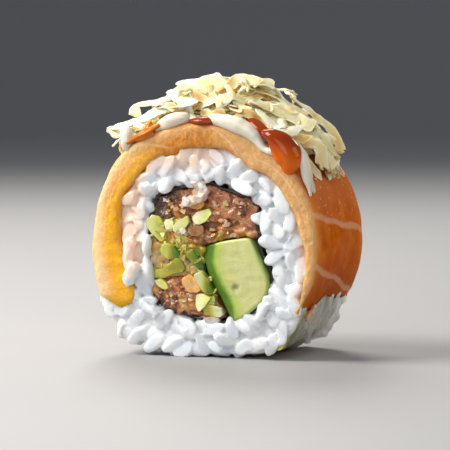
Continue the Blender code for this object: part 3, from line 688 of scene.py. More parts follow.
def chunk(draw):
    """Vertices and faces of a flat-sided lump about 2 across, each one different."""
    bm = bmesh.new()
    for spot in draw.normal(size=(11, 3)):
        bm.verts.new(spot / np.linalg.norm(spot) * draw.uniform(0.85, 1.15))
    bmesh.ops.convex_hull(bm, input=bm.verts)
    bmesh.ops.delete(bm, geom=[v for v in bm.verts if not v.link_faces], context="VERTS")
    bmesh.ops.triangulate(bm, faces=bm.faces)
    bm.verts.index_update()
    return taken_out(bm)


def inside(outline, x, z):
    """Whether a point lies inside an outline of (x, z) points."""
    within = False
    for (x0, z0), (x1, z1) in zip(outline, np.roll(outline, -1, axis=0)):
        if (z0 > z) != (z1 > z) and x < x0 + (z - z0) / (z1 - z0) * (x1 - x0):
            within = not within
    return within


def chopped(name, outline, bits, seed):
    """A chopped lump: a core, with bits of many sizes on both cut faces, melted into one skin."""
    draw = np.random.default_rng(seed)
    flat = np.array(outline) * MM
    low, high = flat.min(axis=0) / MM, flat.max(axis=0) / MM
    known = np.array([(bit[0], bit[1]) for bit in bits])
    shapes, centres, tints = [], [], []
    for side in (-1, 1):
        chosen = list(bits)
        while len(chosen) < len(bits) + SMALL_BITS:
            x, z = draw.uniform(low, high)
            if not inside(flat / MM, x, z):
                continue
            base = bits[np.argmin(((known - (x, z)) ** 2).sum(axis=1))][5]
            size = draw.uniform(0.45, 1.1)
            tint = np.clip(base + draw.normal() * 0.1, 0, 1)
            chosen.append((x, z, size * draw.uniform(1, 1.5), size, draw.uniform(-0.3, 0.45), tint))
        for x, z, half_width, half_height, out, tint in chosen:
            spot = np.array((x * MM, side * (MINCE_FACE + (out - BIT_HALF_DEPTH) * MM), z * MM))
            lean = draw.uniform(-0.6, 0.6)
            size = 2 * np.array((half_width, BIT_HALF_DEPTH, half_height)) * MM
            along = (math.cos(lean), draw.uniform(-0.3, 0.3), math.sin(lean))
            place = placed(spot, along, (0, 0, 1), size)
            shapes.append(many(chunk(draw), [place]))
            centres.append(spot)
            tints.append(tint)
    shrunk = flat + (flat.mean(axis=0) - flat) * 0.02
    front = np.stack([shrunk[:, 0], np.full(len(flat), -(MINCE_FACE - 0.9 * MM)), shrunk[:, 1]], axis=-1)
    obj = piece(name, *joined(shapes + [capped_tube([front, front * (1, -1, 1)])]))
    face_outwards(obj)
    melt(obj, MINCE_VOXEL)
    coords = relaxed(obj, positions(obj), 1, 0.4)
    fine = lumps(coords, 0.55 * MM, seed + 1) * 0.09 + lumps(coords, 1.3 * MM, seed + 2) * 0.13
    coords += normals(obj) * fine[:, None] * MM
    set_positions(obj, coords)
    set_creases(obj, 0.22 * MM, 6)
    tree = KDTree(len(centres))
    for i, centre in enumerate(centres):
        tree.insert(centre, i)
    tree.balance()
    # Each vertex takes its tint from the bits nearest to it, with uneven borders between them.
    found = []
    for spot in coords + sway(coords, 1.2 * MM, seed + 3) * 0.5 * MM:
        near = [(distance, i) for _, i, distance in tree.find_n(spot, 3)]
        weights = np.array([1 / (distance + 0.05 * MM) ** 6 for distance, _ in near])
        found.append(np.dot(weights, [tints[i] for _, i in near]) / weights.sum())
    set_values(obj, "tint", np.array(found))
    return obj


mince_top = chopped("chopped_salmon_upper", TOP_LUMP, TOP_BITS, 11)
mince_bottom = chopped("chopped_salmon_lower", BOTTOM_LUMP, BOTTOM_BITS, 13)


def tinted(tree, tint, colours):
    """A colour from a tint of 0 to 1; the colours are (position, colour)."""
    stops = node(tree, "ValToRGB", {"Fac": tint}).color_ramp.elements
    while len(stops) < len(colours):
        stops.new(0.5)
    for element, (position, colour) in zip(stops, colours):
        element.position, element.color = position, (*colour, 1)
    return tree.nodes[-1].outputs["Color"]


mince_look, tree, shader = new_material(
    "chopped_salmon", Subsurface_Weight=0.3, Subsurface_Scale=0.0008, Coat_Weight=0.7, Coat_Roughness=0.1
)
shader.inputs["Subsurface Radius"].default_value = (1.0, 0.4, 0.2)
cloud = mottled(tree, 1.5 * MM, 0.35 * MM)
meat = tinted(
    tree,
    stored(tree, "tint"),
    (
        (0.0, (0.045, 0.013, 0.006)),
        (0.22, (0.16, 0.045, 0.015)),
        (0.45, (0.46, 0.15, 0.05)),
        (0.60, (0.62, 0.27, 0.075)),
        (0.75, (0.72, 0.42, 0.10)),
        (0.85, (0.82, 0.33, 0.02)),
        (1.0, (0.76, 0.62, 0.24)),
    ),
)
layers = (
    (cloud["Small"], 0.5, 0.68, 0, 0.4, (0.74, 0.42, 0.19)),
    (cloud["Large"], 0.52, 0.75, 0, 0.5, (0.24, 0.065, 0.018)),
    # Painted shade: nearly black in the creases between the bits.
    (stored(tree, "crease"), 0.1, 0.9, 0, 0.85, (0.07, 0.02, 0.008)),
)
meat = layered(tree, meat, layers)
paint_moist(tree, shader, meat, cloud["Small"], (0.35, 0.65, 0.16, 0.42), cloud["Small"], (0.7, 0.0005))
for lump, solid in ((mince_top, "chopped_salmon_top"), (mince_bottom, "chopped_salmon_bottom")):
    lump.data.materials.append(mince_look)
    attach(lump, "root")
    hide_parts(solid)

# ---- Spring onion ----
# Chopped spring onion between the two lumps of fish: a wet green mash with bits of stalk in it, cut flat by
# the knife. A few more bits were pushed into the fish, and one sticks to the rice at the foot on the right.

MASH_LUMP = (
    (-12.5, 24.4), (-8.9, 23.6), (-5.4, 23.0), (-0.8, 22.4), (-0.9, 20.4), (-0.6, 18.4), (-1.3, 16.9),
    (-3.5, 16.5), (-6.2, 16.1), (-10.6, 15.0), (-12.4, 15.6), (-12.7, 20.3),
)
MASH_BITS = (
    (-11.2, 22.6, 1.6, 1.6, 0.2, 0.30), (-9.8, 23.6, 1.5, 1.0, 0.1, 0.22),
    (-11.4, 19.2, 1.5, 1.8, 0.5, 0.10), (-9.0, 18.6, 1.6, 0.9, -0.4, 0.35),
    (-4.9, 21.4, 1.8, 1.2, 0.1, 0.28), (-3.2, 22.2, 1.5, 0.9, 0.2, 0.36), (-6.4, 23.0, 1.7, 0.9, 0.2, 0.30),
    (-4.4, 19.2, 1.0, 1.3, -0.6, 0.02), (-2.6, 18.0, 1.1, 1.0, 0.1, 0.16),
    (-3.6, 17.0, 1.2, 0.7, 0.3, 0.20), (-1.4, 20.6, 1.0, 1.4, -0.3, 0.60),
    (-10.4, 17.0, 2.0, 1.0, -0.2, 0.25), (-2.4, 21.2, 1.2, 0.8, 0.1, 0.55),
    (-7.6, 18.9, 1.6, 0.7, -0.6, 0.05), (-1.2, 18.2, 0.8, 1.0, -0.1, 0.7),
    (-11.8, 16.4, 0.9, 0.9, 0.2, 0.2),
)
# The bits of stalk: outline (x, z), how far the front stands out from the cut face, the front's fall to the
# right and upwards, and the green at the left and the right end (0 is nearly white, 1 is full green).
STALK_BITS = (
    (((-9.3, 22.0), (-8.2, 22.9), (-6.3, 21.8), (-5.5, 20.6), (-6.2, 19.8), (-7.9, 19.5), (-9.0, 20.5)),
     0.7, 0.35, -0.1, 0.35, 0.95),
    (((-12.5, 16.7), (-11.0, 17.3), (-8.9, 17.9), (-7.2, 18.9), (-6.0, 20.0), (-5.0, 19.5), (-4.3, 17.9),
     (-4.9, 17.0), (-7.0, 16.6), (-9.1, 15.7), (-11.0, 15.6), (-12.2, 15.9)), 0.6, -0.05, -0.3, 0.45, 0.72),
    (((-10.9, 15.2), (-9.9, 15.6), (-8.6, 15.0), (-8.0, 13.9), (-8.7, 13.3), (-10.0, 14.0)),
     0.8, 0.1, 0.0, 0.25, 0.35),
    (((-2.1, 16.6), (-0.8, 17.5), (0.5, 15.8), (1.7, 13.3), (1.1, 12.4), (-0.1, 13.2), (-1.4, 15.0)),
     1.0, 0.55, 0.15, 0.08, 0.85),
    (((-1.8, 12.7), (-0.3, 12.9), (1.5, 12.1), (0.4, 10.5), (-1.3, 9.1), (-1.9, 10.5)),
     1.1, -0.1, 0.1, 0.10, 0.30),
    (((-0.6, 9.7), (0.6, 10.9), (2.2, 10.4), (3.6, 10.1), (3.9, 9.0), (3.2, 8.1), (1.4, 8.2), (-0.3, 8.6)),
     0.6, -0.15, -0.35, 0.60, 0.02),
    (((-6.8, 26.5), (-5.6, 27.4), (-3.9, 28.5), (-3.4, 27.1), (-4.6, 25.5), (-5.9, 24.6), (-6.7, 25.3)),
     0.9, 0.1, -0.1, 0.10, 0.24),
    (((-2.8, 27.9), (-1.6, 29.3), (0.9, 30.0), (1.5, 29.1), (0.5, 27.7), (-0.8, 26.8), (-2.2, 26.9)),
     0.9, 0.0, 0.1, 0.08, 0.26),
    (((-12.6, 27.5), (-11.5, 28.5), (-9.8, 28.0), (-8.8, 25.9), (-8.7, 23.6), (-9.8, 22.9), (-11.5, 24.4),
     (-12.6, 25.9)), 0.5, 0.12, -0.05, 0.24, 0.50),
    (((-8.9, 26.9), (-7.8, 27.8), (-6.8, 27.2), (-7.1, 25.8), (-8.3, 25.5)), 0.7, 0.1, 0.1, 0.06, 0.16),
    (((-4.0, 20.6), (-2.7, 21.7), (-1.5, 20.2), (-0.4, 18.1), (-1.6, 17.6), (-3.0, 19.0)),
     0.5, 0.25, -0.2, 0.75, 1.0),
    (((-5.3, 25.8), (-4.4, 26.0), (-4.0, 25.2), (-4.9, 24.6)), 1.0, 0.0, 0.0, 0.02, 0.02),
    (((-0.4, 11.9), (1.3, 11.7), (2.0, 10.7), (1.1, 10.3), (0.1, 10.6)), 0.3, 0.0, -0.3, 0.02, 0.06),
    (((15.4, 2.0), (16.3, 2.2), (17.1, 3.2), (17.6, 4.6), (16.9, 4.1), (16.0, 3.0)),
     0.5, -0.3, 0.2, 0.45, 0.75),
)
# Where small chips lie between them: middle (x, z), and the least and most green of the chips there.
CHIP_PATCHES = (
    (-11.2, 25.4, 0.3, 0.7), (-7.6, 26.4, 0.1, 0.5), (-4.8, 25.8, 0.1, 0.4), (-0.8, 28.2, 0.1, 0.5),
    (-8.2, 21.2, 0.3, 0.9), (-2.6, 19.8, 0.5, 1.0), (-8.6, 17.4, 0.3, 0.7), (0.4, 15.0, 0.3, 0.9),
    (0.2, 11.4, 0.1, 0.5), (2.2, 9.3, 0.1, 0.7), (-5.2, 23.6, 0.2, 0.6), (-5.8, 21.4, 0.2, 0.7),
)
CHIPS_EACH = 9  # in each of those
BACK_BITS = 26  # on the far cut face
BIT_DEPTH = 1.9 * MM
BIT_SINK = 0.15  # mm that every bit is pushed in
BIT_CREASE = math.radians(38)  # sharper edges than this stay sharp
# A bit's rings from the middle of its front to the middle of its back: share of its size, share of its depth.
BIT_PROFILE = ((0, 0), (0.35, 0), (0.7, 0), (0.96, 0), (1, 0.05), (1, 0.6), (0.94, 1), (0.5, 1), (0, 1))


def rounded_off(outline, rounds, cut=0.2):
    """Cuts an outline's corners off, some times over."""
    for _ in range(rounds):
        after = np.roll(outline, -1, axis=0)
        outline = np.stack([outline * (1 - cut) + after * cut, outline * cut + after * (1 - cut)], axis=1)
        outline = outline.reshape(-1, outline.shape[-1])
    return outline


def slab(outline, out, falls, seed):
    """A cut bit: its front lies near the cut face and falls away to one side. All in metres."""
    flat = rounded_off(np.array(outline), 1, 0.12)
    flat = np.stack([flat, (flat + np.roll(flat, -1, axis=0)) / 2], axis=1).reshape(-1, 2)
    middle = flat.mean(axis=0)
    rings = []
    for share, back in BIT_PROFILE:
        spots = middle + (flat - middle) * (share if share else 0.02)
        front = -(MINCE_FACE + out) + (spots - middle) @ np.array(falls)
        rings.append(np.stack([spots[:, 0], front + back * BIT_DEPTH, spots[:, 1]], axis=-1))
    verts, faces = capped_tube(rings)
    return verts + sway(verts, 0.8 * MM, seed) * 0.14 * MM, faces


def slabs(rows, seed):
    """Cut bits from rows of outline, how far out, fall to the right and fall upwards, in mm."""
    shapes = []
    for number, (outline, out, right_fall, up_fall, *_) in enumerate(rows):
        falls = (right_fall, up_fall)
        shapes.append(slab(np.array(outline) * MM, (out - BIT_SINK) * MM, falls, seed + number))
    return shapes


def bits_object(name, shapes, tints):
    """One object from cut bits, with a tint stored on its vertices."""
    obj = piece(name, *joined(shapes))
    face_outwards(obj)
    obj.data.set_sharp_from_angle(angle=BIT_CREASE)
    set_values(obj, "tint", np.concatenate(tints))
    return obj


mash = chopped("spring_onion_mash", MASH_LUMP, MASH_BITS, 17)
mash_look, tree, shader = new_material(
    "green_mash", Subsurface_Weight=0.35, Subsurface_Scale=0.001, Coat_Weight=0.7, Coat_Roughness=0.1
)
cloud = mottled(tree, 1.5 * MM, 0.35 * MM)
pulp = tinted(
    tree,
    stored(tree, "tint"),
    (
        (0.0, (0.12, 0.07, 0.012)),
        (0.12, (0.72, 0.50, 0.22)),
        (0.30, (0.66, 0.40, 0.07)),
        (0.45, (0.60, 0.45, 0.05)),
        (0.60, (0.24, 0.31, 0.015)),
        (1.0, (0.11, 0.20, 0.008)),
    ),
)
layers = (
    (cloud["Small"], 0.5, 0.7, 0, 0.45, (0.74, 0.58, 0.16)),
    (cloud["Large"], 0.55, 0.75, 0, 0.5, (0.30, 0.20, 0.015)),
    # Painted shade: nearly black in the creases between the bits.
    (stored(tree, "crease"), 0.1, 0.9, 0, 0.8, (0.05, 0.035, 0.008)),
)
pulp = layered(tree, pulp, layers)
paint_moist(tree, shader, pulp, cloud["Small"], (0.35, 0.65, 0.18, 0.42), cloud["Small"], (0.6, 0.0005))
mash.data.materials.append(mash_look)
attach(mash, "root")
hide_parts("spring_onion")

draw = np.random.default_rng(23)
chips = []
for middle_x, middle_z, low_green, high_green in CHIP_PATCHES:
    for _ in range(CHIPS_EACH):
        x, z = max(middle_x + draw.normal() * 1.0, -11.6), middle_z + draw.normal() * 0.8
        size = draw.uniform(0.35, 1.0) * draw.uniform(0.7, 1.2, 5)
        turned = np.sort(draw.uniform(0, math.tau, 5))
        outline = tuple(zip(x + size * np.cos(turned), z + size * 0.8 * np.sin(turned)))
        green = draw.uniform(low_green, high_green)
        out, falls = draw.uniform(-0.1, 0.55), draw.uniform(-0.5, 0.5, 2)
        chips.append((outline, out, *falls, green, green + draw.uniform(-0.15, 0.15)))
chips = [*STALK_BITS, *chips]
shapes, greens = slabs(chips, 60), []
for (verts, _), (*_, left_green, right_green) in zip(shapes, chips):
    share = ramp((verts[:, 0] - verts[:, 0].min()) / np.ptp(verts[:, 0]), 0.3, 0.4)
    greens.append(left_green + (right_green - left_green) * share)
for _ in range(BACK_BITS):
    x, z = draw.uniform(-12, -1.5), draw.uniform(16, 24)
    size = draw.uniform(0.7, 1.9, 5)
    turned = np.sort(draw.uniform(0, 360, 5))
    outline = x + size * np.cos(np.radians(turned)), z + size * np.sin(np.radians(turned))
    out, falls = draw.uniform(0, 0.8) * MM, draw.uniform(-0.3, 0.3, 2)
    verts, faces = slab(np.stack(outline, axis=-1) * MM, out, falls, draw.integers(90))
    shapes.append((verts * (1, -1, 1), faces))
    greens.append(np.full(len(verts), draw.uniform(0.1, 1)))
bits = bits_object("spring_onion_bits", shapes, greens)
bits_look, tree, shader = new_material(
    "cut_stalk",
    Subsurface_Weight=0.4,
    Subsurface_Scale=0.0012,
    Coat_Weight=0.35,
    Coat_Roughness=0.1,
    Roughness=0.3,
)
shader.inputs["Subsurface Radius"].default_value = (0.7, 1.0, 0.3)
cloud = mottled(tree, 1.2 * MM, 0.3 * MM)
stalk = tinted(
    tree,
    stored(tree, "tint"),
    (
        (0.0, (0.92, 0.86, 0.60)),
        (0.2, (0.80, 0.82, 0.32)),
        (0.4, (0.66, 0.66, 0.11)),
        (0.65, (0.48, 0.40, 0.025)),
        (0.85, (0.16, 0.28, 0.003)),
        (1.0, (0.07, 0.17, 0.002)),
    ),
)
stalk = layered(tree, stalk, ((cloud["Large"], 0.5, 0.75, 0, 0.4, (0.66, 0.62, 0.16)),))
paint(tree, shader, Base_Color=stalk, Normal=bumped(tree, cloud["Small"], 0.4, 0.0003))
bits.data.materials.append(bits_look)
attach(bits, "root")

# ---- White curl and loose bits ----
# A curled scrap of the onion's white end at the top of the filling, one grain of rice at the bottom, and soft
# bits and flecks of fish, clearer and more orange than the rest. They lie loose on the front cut face.

# As the bits of stalk, with one tint from nearly white to dark orange.
LOOSE_BITS = (
    (((-2.9, 33.4), (-2.2, 34.3), (-1.2, 34.2), (-0.7, 33.2), (-1.4, 32.2), (-2.6, 32.3)),
     0.5, 0.1, 0.0, 0.14),
    (((-3.5, 30.6), (-1.9, 31.1), (-0.3, 31.8), (0.0, 30.9), (-0.8, 29.8), (-2.9, 29.9)),
     1.0, -0.1, 0.0, 0.55),
    (((-3.8, 25.9), (-2.1, 26.7), (-0.3, 26.5), (0.0, 25.1), (-1.3, 24.3), (-2.9, 24.5)),
     1.0, 0.0, 0.1, 0.8),
    (((-4.9, 15.8), (-3.5, 16.7), (-2.1, 15.9), (-0.7, 13.6), (-1.6, 12.9), (-3.5, 13.2), (-4.9, 14.6)),
     0.9, 0.1, 0.15, 0.42),
    (((-0.4, 7.9), (1.0, 8.4), (2.7, 8.1), (3.1, 7.3), (1.6, 6.6), (0.1, 6.9)), 0.5, 0.0, -0.2, 0.02),
)
# The curl's path: (x, y, z, half width).
CURL = (
    (-4.7, -13.3, 30.9, 0.45), (-3.8, -13.5, 31.5, 0.85), (-2.4, -13.5, 31.3, 0.95),
    (-1.1, -13.5, 32.0, 1.0), (-0.4, -13.4, 33.2, 0.95), (-0.9, -13.3, 34.5, 0.9), (-2.2, -13.2, 34.9, 0.7),
)
CURL_DEPTH = 1.9 * MM


def smooth_path(points, steps):
    """Points spread along a soft curve through the given ones (Catmull-Rom)."""
    points = np.array(points, dtype=float)
    padded = np.vstack([2 * points[0] - points[1], points, 2 * points[-1] - points[-2]])
    spread = np.linspace(0, len(points) - 1, steps)
    start = np.minimum(spread.astype(int), len(points) - 2)
    part = (spread - start)[:, None]
    p0, p1, p2, p3 = (padded[start + k] for k in range(4))
    square, cube = 2 * p0 - 5 * p1 + 4 * p2 - p3, 3 * p1 - p0 - 3 * p2 + p3
    return 0.5 * (2 * p1 + (p2 - p0) * part + square * part**2 + cube * part**3)


# Where small flecks of fish stand out: middle (x, z), spread (x, z), how many.
FLECK_PATCHES = (
    (4.8, 29.0, 3.4, 2.4, 34), (-6.5, 30.0, 2.6, 1.6, 14), (2.5, 25.0, 3.4, 0.9, 14),
    (-5.6, 12.4, 2.8, 2.0, 26), (-5.5, 24.8, 3.4, 0.9, 12),
)
FLECK_TINTS = (0.04, 0.12, 0.3, 0.42, 0.55)

draw = np.random.default_rng(29)
flecks_and_glints = []
for middle_x, middle_z, spread_x, spread_z, count in FLECK_PATCHES:
    for _ in range(count):
        x, z = middle_x + draw.uniform(-1, 1) * spread_x, middle_z + draw.uniform(-1, 1) * spread_z
        size = draw.uniform(0.25, 0.75) * draw.uniform(0.7, 1.3, 6)
        turned = np.sort(draw.uniform(0, math.tau, 6))
        outline = tuple(zip(x + size * 1.2 * np.cos(turned), z + size * 0.8 * np.sin(turned)))
        out, falls = draw.uniform(0.1, 0.75), draw.uniform(-0.4, 0.4, 2)
        flecks_and_glints.append((outline, out, *falls, draw.choice(FLECK_TINTS)))
flecks_and_glints = [*LOOSE_BITS, *flecks_and_glints]
shapes = slabs(flecks_and_glints, 80)
tints = [np.full(len(verts), tint) for (verts, _), (*_, tint) in zip(shapes, flecks_and_glints)]
loose = bits_object("loose_bits", shapes, tints)
loose_look, tree, shader = new_material(
    "clear_bits",
    Subsurface_Weight=0.6,
    Subsurface_Scale=0.0015,
    Coat_Weight=0.8,
    Coat_Roughness=0.08,
    Roughness=0.22,
)
cloud = mottled(tree, 1.2 * MM, 0.3 * MM)
clear = tinted(
    tree,
    stored(tree, "tint"),
    (
        (0.0, (0.80, 0.72, 0.66)),
        (0.1, (0.72, 0.50, 0.36)),
        (0.42, (0.72, 0.36, 0.07)),
        (0.55, (0.60, 0.25, 0.03)),
        (0.8, (0.30, 0.11, 0.02)),
    ),
)
clear = layered(tree, clear, ((cloud["Large"], 0.5, 0.75, 0, 0.4, (0.62, 0.34, 0.16)),))
paint(tree, shader, Base_Color=clear, Normal=bumped(tree, cloud["Small"], 0.5, 0.0004))
loose.data.materials.append(loose_look)
places = []
for *spot, half in smooth_path(CURL, 34):
    size = (CURL_DEPTH, 2.3 * half * MM, 2.3 * half * MM)
    places.append(placed(np.array(spot) * MM, (0, 1, 0.01), (0.3, 0, 1), size))
curl = piece("white_curl", *many(ball(3), places))
melt(curl, 0.16 * MM)
coords = relaxed(curl, positions(curl), 2)
coords += sway(coords, 0.8 * MM, 97) * 0.42 * MM
set_positions(curl, coords)
set_values(curl, "tint", 0.03 + 0.06 * lumps(coords, 1.2 * MM, 101))
curl.data.materials.append(loose_look)
for obj in (loose, curl):
    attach(obj, "root")

# ---- Avocado ----
# One long wedge of ripe avocado beside the filling. The flesh is pale yellow-green and darkens to green
# where the skin was; the knife dragged a slanted strip of that green across the cut's left edge.

AVOCADO_OUTLINE = (
    (0.3, 22.7), (2.4, 23.2), (4.6, 23.7), (7.0, 24.1), (9.4, 24.4), (10.6, 22.6), (11.7, 20.4),
    (12.7, 18.4), (13.5, 16.6), (13.7, 14.8), (13.4, 13.2), (12.1, 11.2), (9.6, 9.4), (7.4, 7.9),
    (6.2, 7.3), (5.2, 8.2), (4.2, 9.8), (3.2, 11.8), (1.9, 13.4), (0.9, 15.4), (0.1, 17.2), (-0.5, 18.9),
    (-0.8, 20.7), (-0.5, 22.0),
)
# The line between the cut face and the slanted strip.
AVOCADO_FOLD = (
    (2.5, 24.0), (2.0, 21.1), (1.9, 19.1), (2.6, 17.1), (3.5, 15.1), (4.9, 12.8), (6.3, 10.3), (6.7, 6.6),
)
AVOCADO_FACE = 13.7 * MM
AVOCADO_SPOT = (6.6, 14.2)  # a small dimple with a dark spot on the cut face (x, z)
# How far back the cut face lies near its edge, in mm, by its share of the way there from the middle.
AVOCADO_EDGE = {0.97: 0.10, 0.99: 0.25, 1.0: 0.5}

flat = rounded_off(np.array(AVOCADO_OUTLINE) * MM, 2)
middle = flat.mean(axis=0)
fold_x, fold_z = np.array(AVOCADO_FOLD[::-1]).T * MM


def past_fold(spots):
    """How far left of the fold each (x, z) is."""
    return np.interp(spots[:, 1], fold_z, fold_x) - spots[:, 0]


rings = []
shares = [0.02, *np.linspace(0.06, 0.93, 34), *AVOCADO_EDGE]
for side in (-1, 1):
    sheet = []
    for share in shares:
        spots = middle + (flat - middle) * share
        left = past_fold(spots)
        slope = np.maximum(left, 0) * (0.5 if side < 0 else 0.25)
        soft = np.exp(-np.maximum(left, 0) / (0.5 * MM)) * (left > 0) * 0.12 * MM
        round_edge = AVOCADO_EDGE.get(share, 0) * MM
        from_spot = np.hypot(*(spots - np.array(AVOCADO_SPOT) * MM).T)
        dimple = 0.45 * MM * np.exp(-((from_spot / (0.7 * MM)) ** 2))
        depth = AVOCADO_FACE - slope - soft - round_edge - (dimple if side < 0 else 0)
        sheet.append(np.stack([spots[:, 0], side * depth, spots[:, 1]], axis=-1))
    rings += sheet if side < 0 else sheet[::-1]
    if side < 0:
        for share in np.linspace(-0.9, 0.9, 12):
            along = np.full(len(flat), share * AVOCADO_FACE * 0.85)
            rings.append(np.stack([flat[:, 0], along, flat[:, 1]], axis=-1))
avocado = piece("avocado_wedge", *capped_tube(rings))
face_outwards(avocado)
coords = positions(avocado)
ridges = lumps(coords * (0.6, 1, 2.2), 2.6 * MM, 31) * 0.10 + lumps(coords, 0.8 * MM, 32) * 0.035
coords += normals(avocado) * ridges[:, None] * MM
set_positions(avocado, coords)
flat_spots = coords[:, [0, 2]]
set_values(avocado, "fold", np.clip(past_fold(flat_spots) / (5 * MM), -1, 1))
edge_gap = np.array([np.hypot(*(flat - spot).T).min() for spot in flat_spots])
right_side = ramp(flat_spots[:, 0], 8 * MM, 3 * MM)
set_values(avocado, "skin", np.clip(1 - edge_gap / (1.1 * MM), 0, 1) * right_side)
avocado_look, tree, shader = new_material(
    "ripe_avocado", Subsurface_Weight=0.45, Subsurface_Scale=0.0016, Coat_Weight=0.3, Coat_Roughness=0.15
)
shader.inputs["Subsurface Radius"].default_value = (0.8, 1.0, 0.35)
cloud = mottled(tree, 3.0 * MM, 0.5 * MM)
where = node(tree, "Mapping", {"Vector": on_surface(tree), "Scale": (900, 400, 220)}).outputs[0]
streaks = node(tree, "TexNoise", {"Vector": where, "Scale": 1.0, "Detail": 3.0}).outputs["Fac"]
fold = worked(tree, "MULTIPLY_ADD", streaks, 0.22, stored(tree, "fold"))
inputs = {0: on_surface(tree), 1: (AVOCADO_SPOT[0] * MM, -13.5 * MM, AVOCADO_SPOT[1] * MM)}
from_spot = node(tree, "VectorMath", inputs, operation="DISTANCE").outputs["Value"]
layers = (
    (fold, -0.45, 0.02, 0, 1, (0.47, 0.57, 0.09)),
    (cloud["Large"], 0.45, 0.75, 0, 0.4, (0.70, 0.68, 0.20)),
    (streaks, 0.42, 0.66, 0, 0.2, (0.76, 0.78, 0.42)),
    (fold, -0.08, 0.12, 0, 1, (0.21, 0.37, 0.022)),
    (fold, 0.06, 0.24, 0, 1, (0.075, 0.17, 0.004)),
    (stored(tree, "skin"), 0.1, 1.0, 0, 0.8, (0.22, 0.36, 0.05)),
    (from_spot, 0.3 * MM, 1.2 * MM, 0.6, 0, (0.24, 0.24, 0.05)),
)
flesh = layered(tree, (0.61, 0.61, 0.24, 1), layers)
paint_moist(tree, shader, flesh, cloud["Small"], (0.35, 0.65, 0.28, 0.5), cloud["Small"], (0.3, 0.0004))
avocado.data.materials.append(avocado_look)
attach(avocado, "root")
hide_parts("avocado")

# ---- Salmon slice ----
# A thick slice of raw salmon, laid over the rice and cut through with it. Moist, translucent flesh with
# lines of white fat between the muscles; its cut edge is finely grained.

SLICE_HALF_LENGTH = 14.2 * MM
SLICE_ANGLE_STEPS = 300
SLICE_ROUNDING = 1.3 * MM
SLICE_REACH = 14.6 * MM  # how far the grain of its cut faces may stand out
END_SLANT = 15  # degrees that the left end is cut on the slant
TORN_ENDS = 22  # degrees from each end over which it is torn
# Lines of fat: angle on the front edge, degrees that it drifts over the whole length, half width in degrees.
FAT_LINES = (
    (14.0, -12.0, 1.7), (-10.7, -18.0, 1.4), (40.0, -8.0, 1.4), (146.0, -5.0, 1.5), (171.0, -9.0, 1.4),
    (190.0, -12.0, 1.2),
)
FAT_WOBBLE = 5.0  # degrees
# The same on the cut face: share of the thickness at an angle, how that share drifts by degree, half width
# in share, and the angles between which the line runs.
FACE_LINES = (
    (0.50, 158.0, -0.001, 0.05, 128, 186), (0.42, 120.0, -0.033, 0.06, 108, 133),
    (0.5, 77.5, -0.043, 0.06, 64, 90), (0.5, 44.0, 0.004, 0.04, 20, 60),
)
FACE_WOBBLE = 0.18


def slice_section(turn):
    """Places round the slice's cross-section at an angle, from the inner front corner outwards."""
    inner, outer = radius_at(slice_inner, turn), radius_at(roll_edge, turn)
    taper = np.clip((turn - SLICE_ENDS[0]) / 7, 0.25, 1) * np.clip((SLICE_ENDS[1] - turn) / 2 + 0.5, 0.3, 1)
    inner = outer - (outer - inner) * taper - 0.15 * MM
    reach = min(SLICE_ROUNDING, 0.42 * (outer - inner))
    half = SLICE_HALF_LENGTH
    spots = []
    for side in (-1, 1):
        corners = [(inner + reach, 270 if side < 0 else 0), (outer - reach, 180 if side < 0 else 90)]
        if side > 0:
            corners.reverse()
        for number, (radius, start) in enumerate(corners):
            for turned in np.linspace(0, 90, 6):
                bend = math.radians(start - turned)
                along = side * (half - reach) + reach * math.cos(bend)
                spots.append((radius + reach * math.sin(bend), along))
            if number == 0:
                far = outer - reach if side < 0 else inner + reach
                spots += [(r, side * half) for r in np.linspace(radius, far, 14)[1:-1]]
        if side < 0:
            spots += [(outer, y) for y in np.linspace(-(half - reach), half - reach, 56)[1:-1]]
    spots += [(inner, y) for y in np.linspace(half - reach, -(half - reach), 12)[1:-1]]
    return np.array(spots), inner, outer


rings, around, through = [], [], []
for turn in np.linspace(*SLICE_ENDS, SLICE_ANGLE_STEPS):
    spots, inner, outer = slice_section(turn)
    depth = (outer - spots[:, 0]) / (outer - inner)
    slant = END_SLANT * max(0.0, (turn - SLICE_ENDS[1] + 30) / 30) ** 2
    near_end = max(0.0, 1 - min(turn - SLICE_ENDS[0], SLICE_ENDS[1] - turn) / TORN_ENDS) ** 2
    across = np.stack([spots[:, 1] * 0, spots[:, 1], spots[:, 1] * 0 + (0.01 if turn > 90 else 0)], axis=-1)
    torn = lumps(across, 7.5 * MM, 26) * 4.5 + lumps(across, 2.5 * MM, 27) * 0.35
    rings.append(on_roll(turn + slant * depth**1.6 + torn * near_end, spots[:, 0], spots[:, 1]))
    around.append(np.full(len(spots), turn))
    through.append(depth)
verts, faces = tube(rings, closed=False)
count = len(rings[0])
faces += [tuple(reversed(range(count))), tuple(range(len(verts) - count, len(verts)))]
salmon = piece("salmon_drape", verts, faces)
face_outwards(salmon)
coords = positions(salmon)
cut = ramp(np.abs(coords[:, 1]), SLICE_HALF_LENGTH - 1.0 * MM, 0.8 * MM)
grained = lumps(coords, 0.55 * MM, 21) * 0.07 + lumps(coords, 1.4 * MM, 22) * 0.13
broad = lumps(coords, 7 * MM, 23) * 0.45 + lumps(coords, 2.6 * MM, 24) * 0.07
relief = grained * cut + broad * (1 - cut) + lumps(coords, 3 * MM, 25) * 0.15
coords += normals(salmon) * relief[:, None] * MM
coords[:, 1] = np.clip(coords[:, 1], -SLICE_REACH, SLICE_REACH)
set_positions(salmon, coords)
set_values(salmon, "around", np.concatenate(around))
set_values(salmon, "through", np.concatenate(through))
set_values(salmon, "cut", cut)


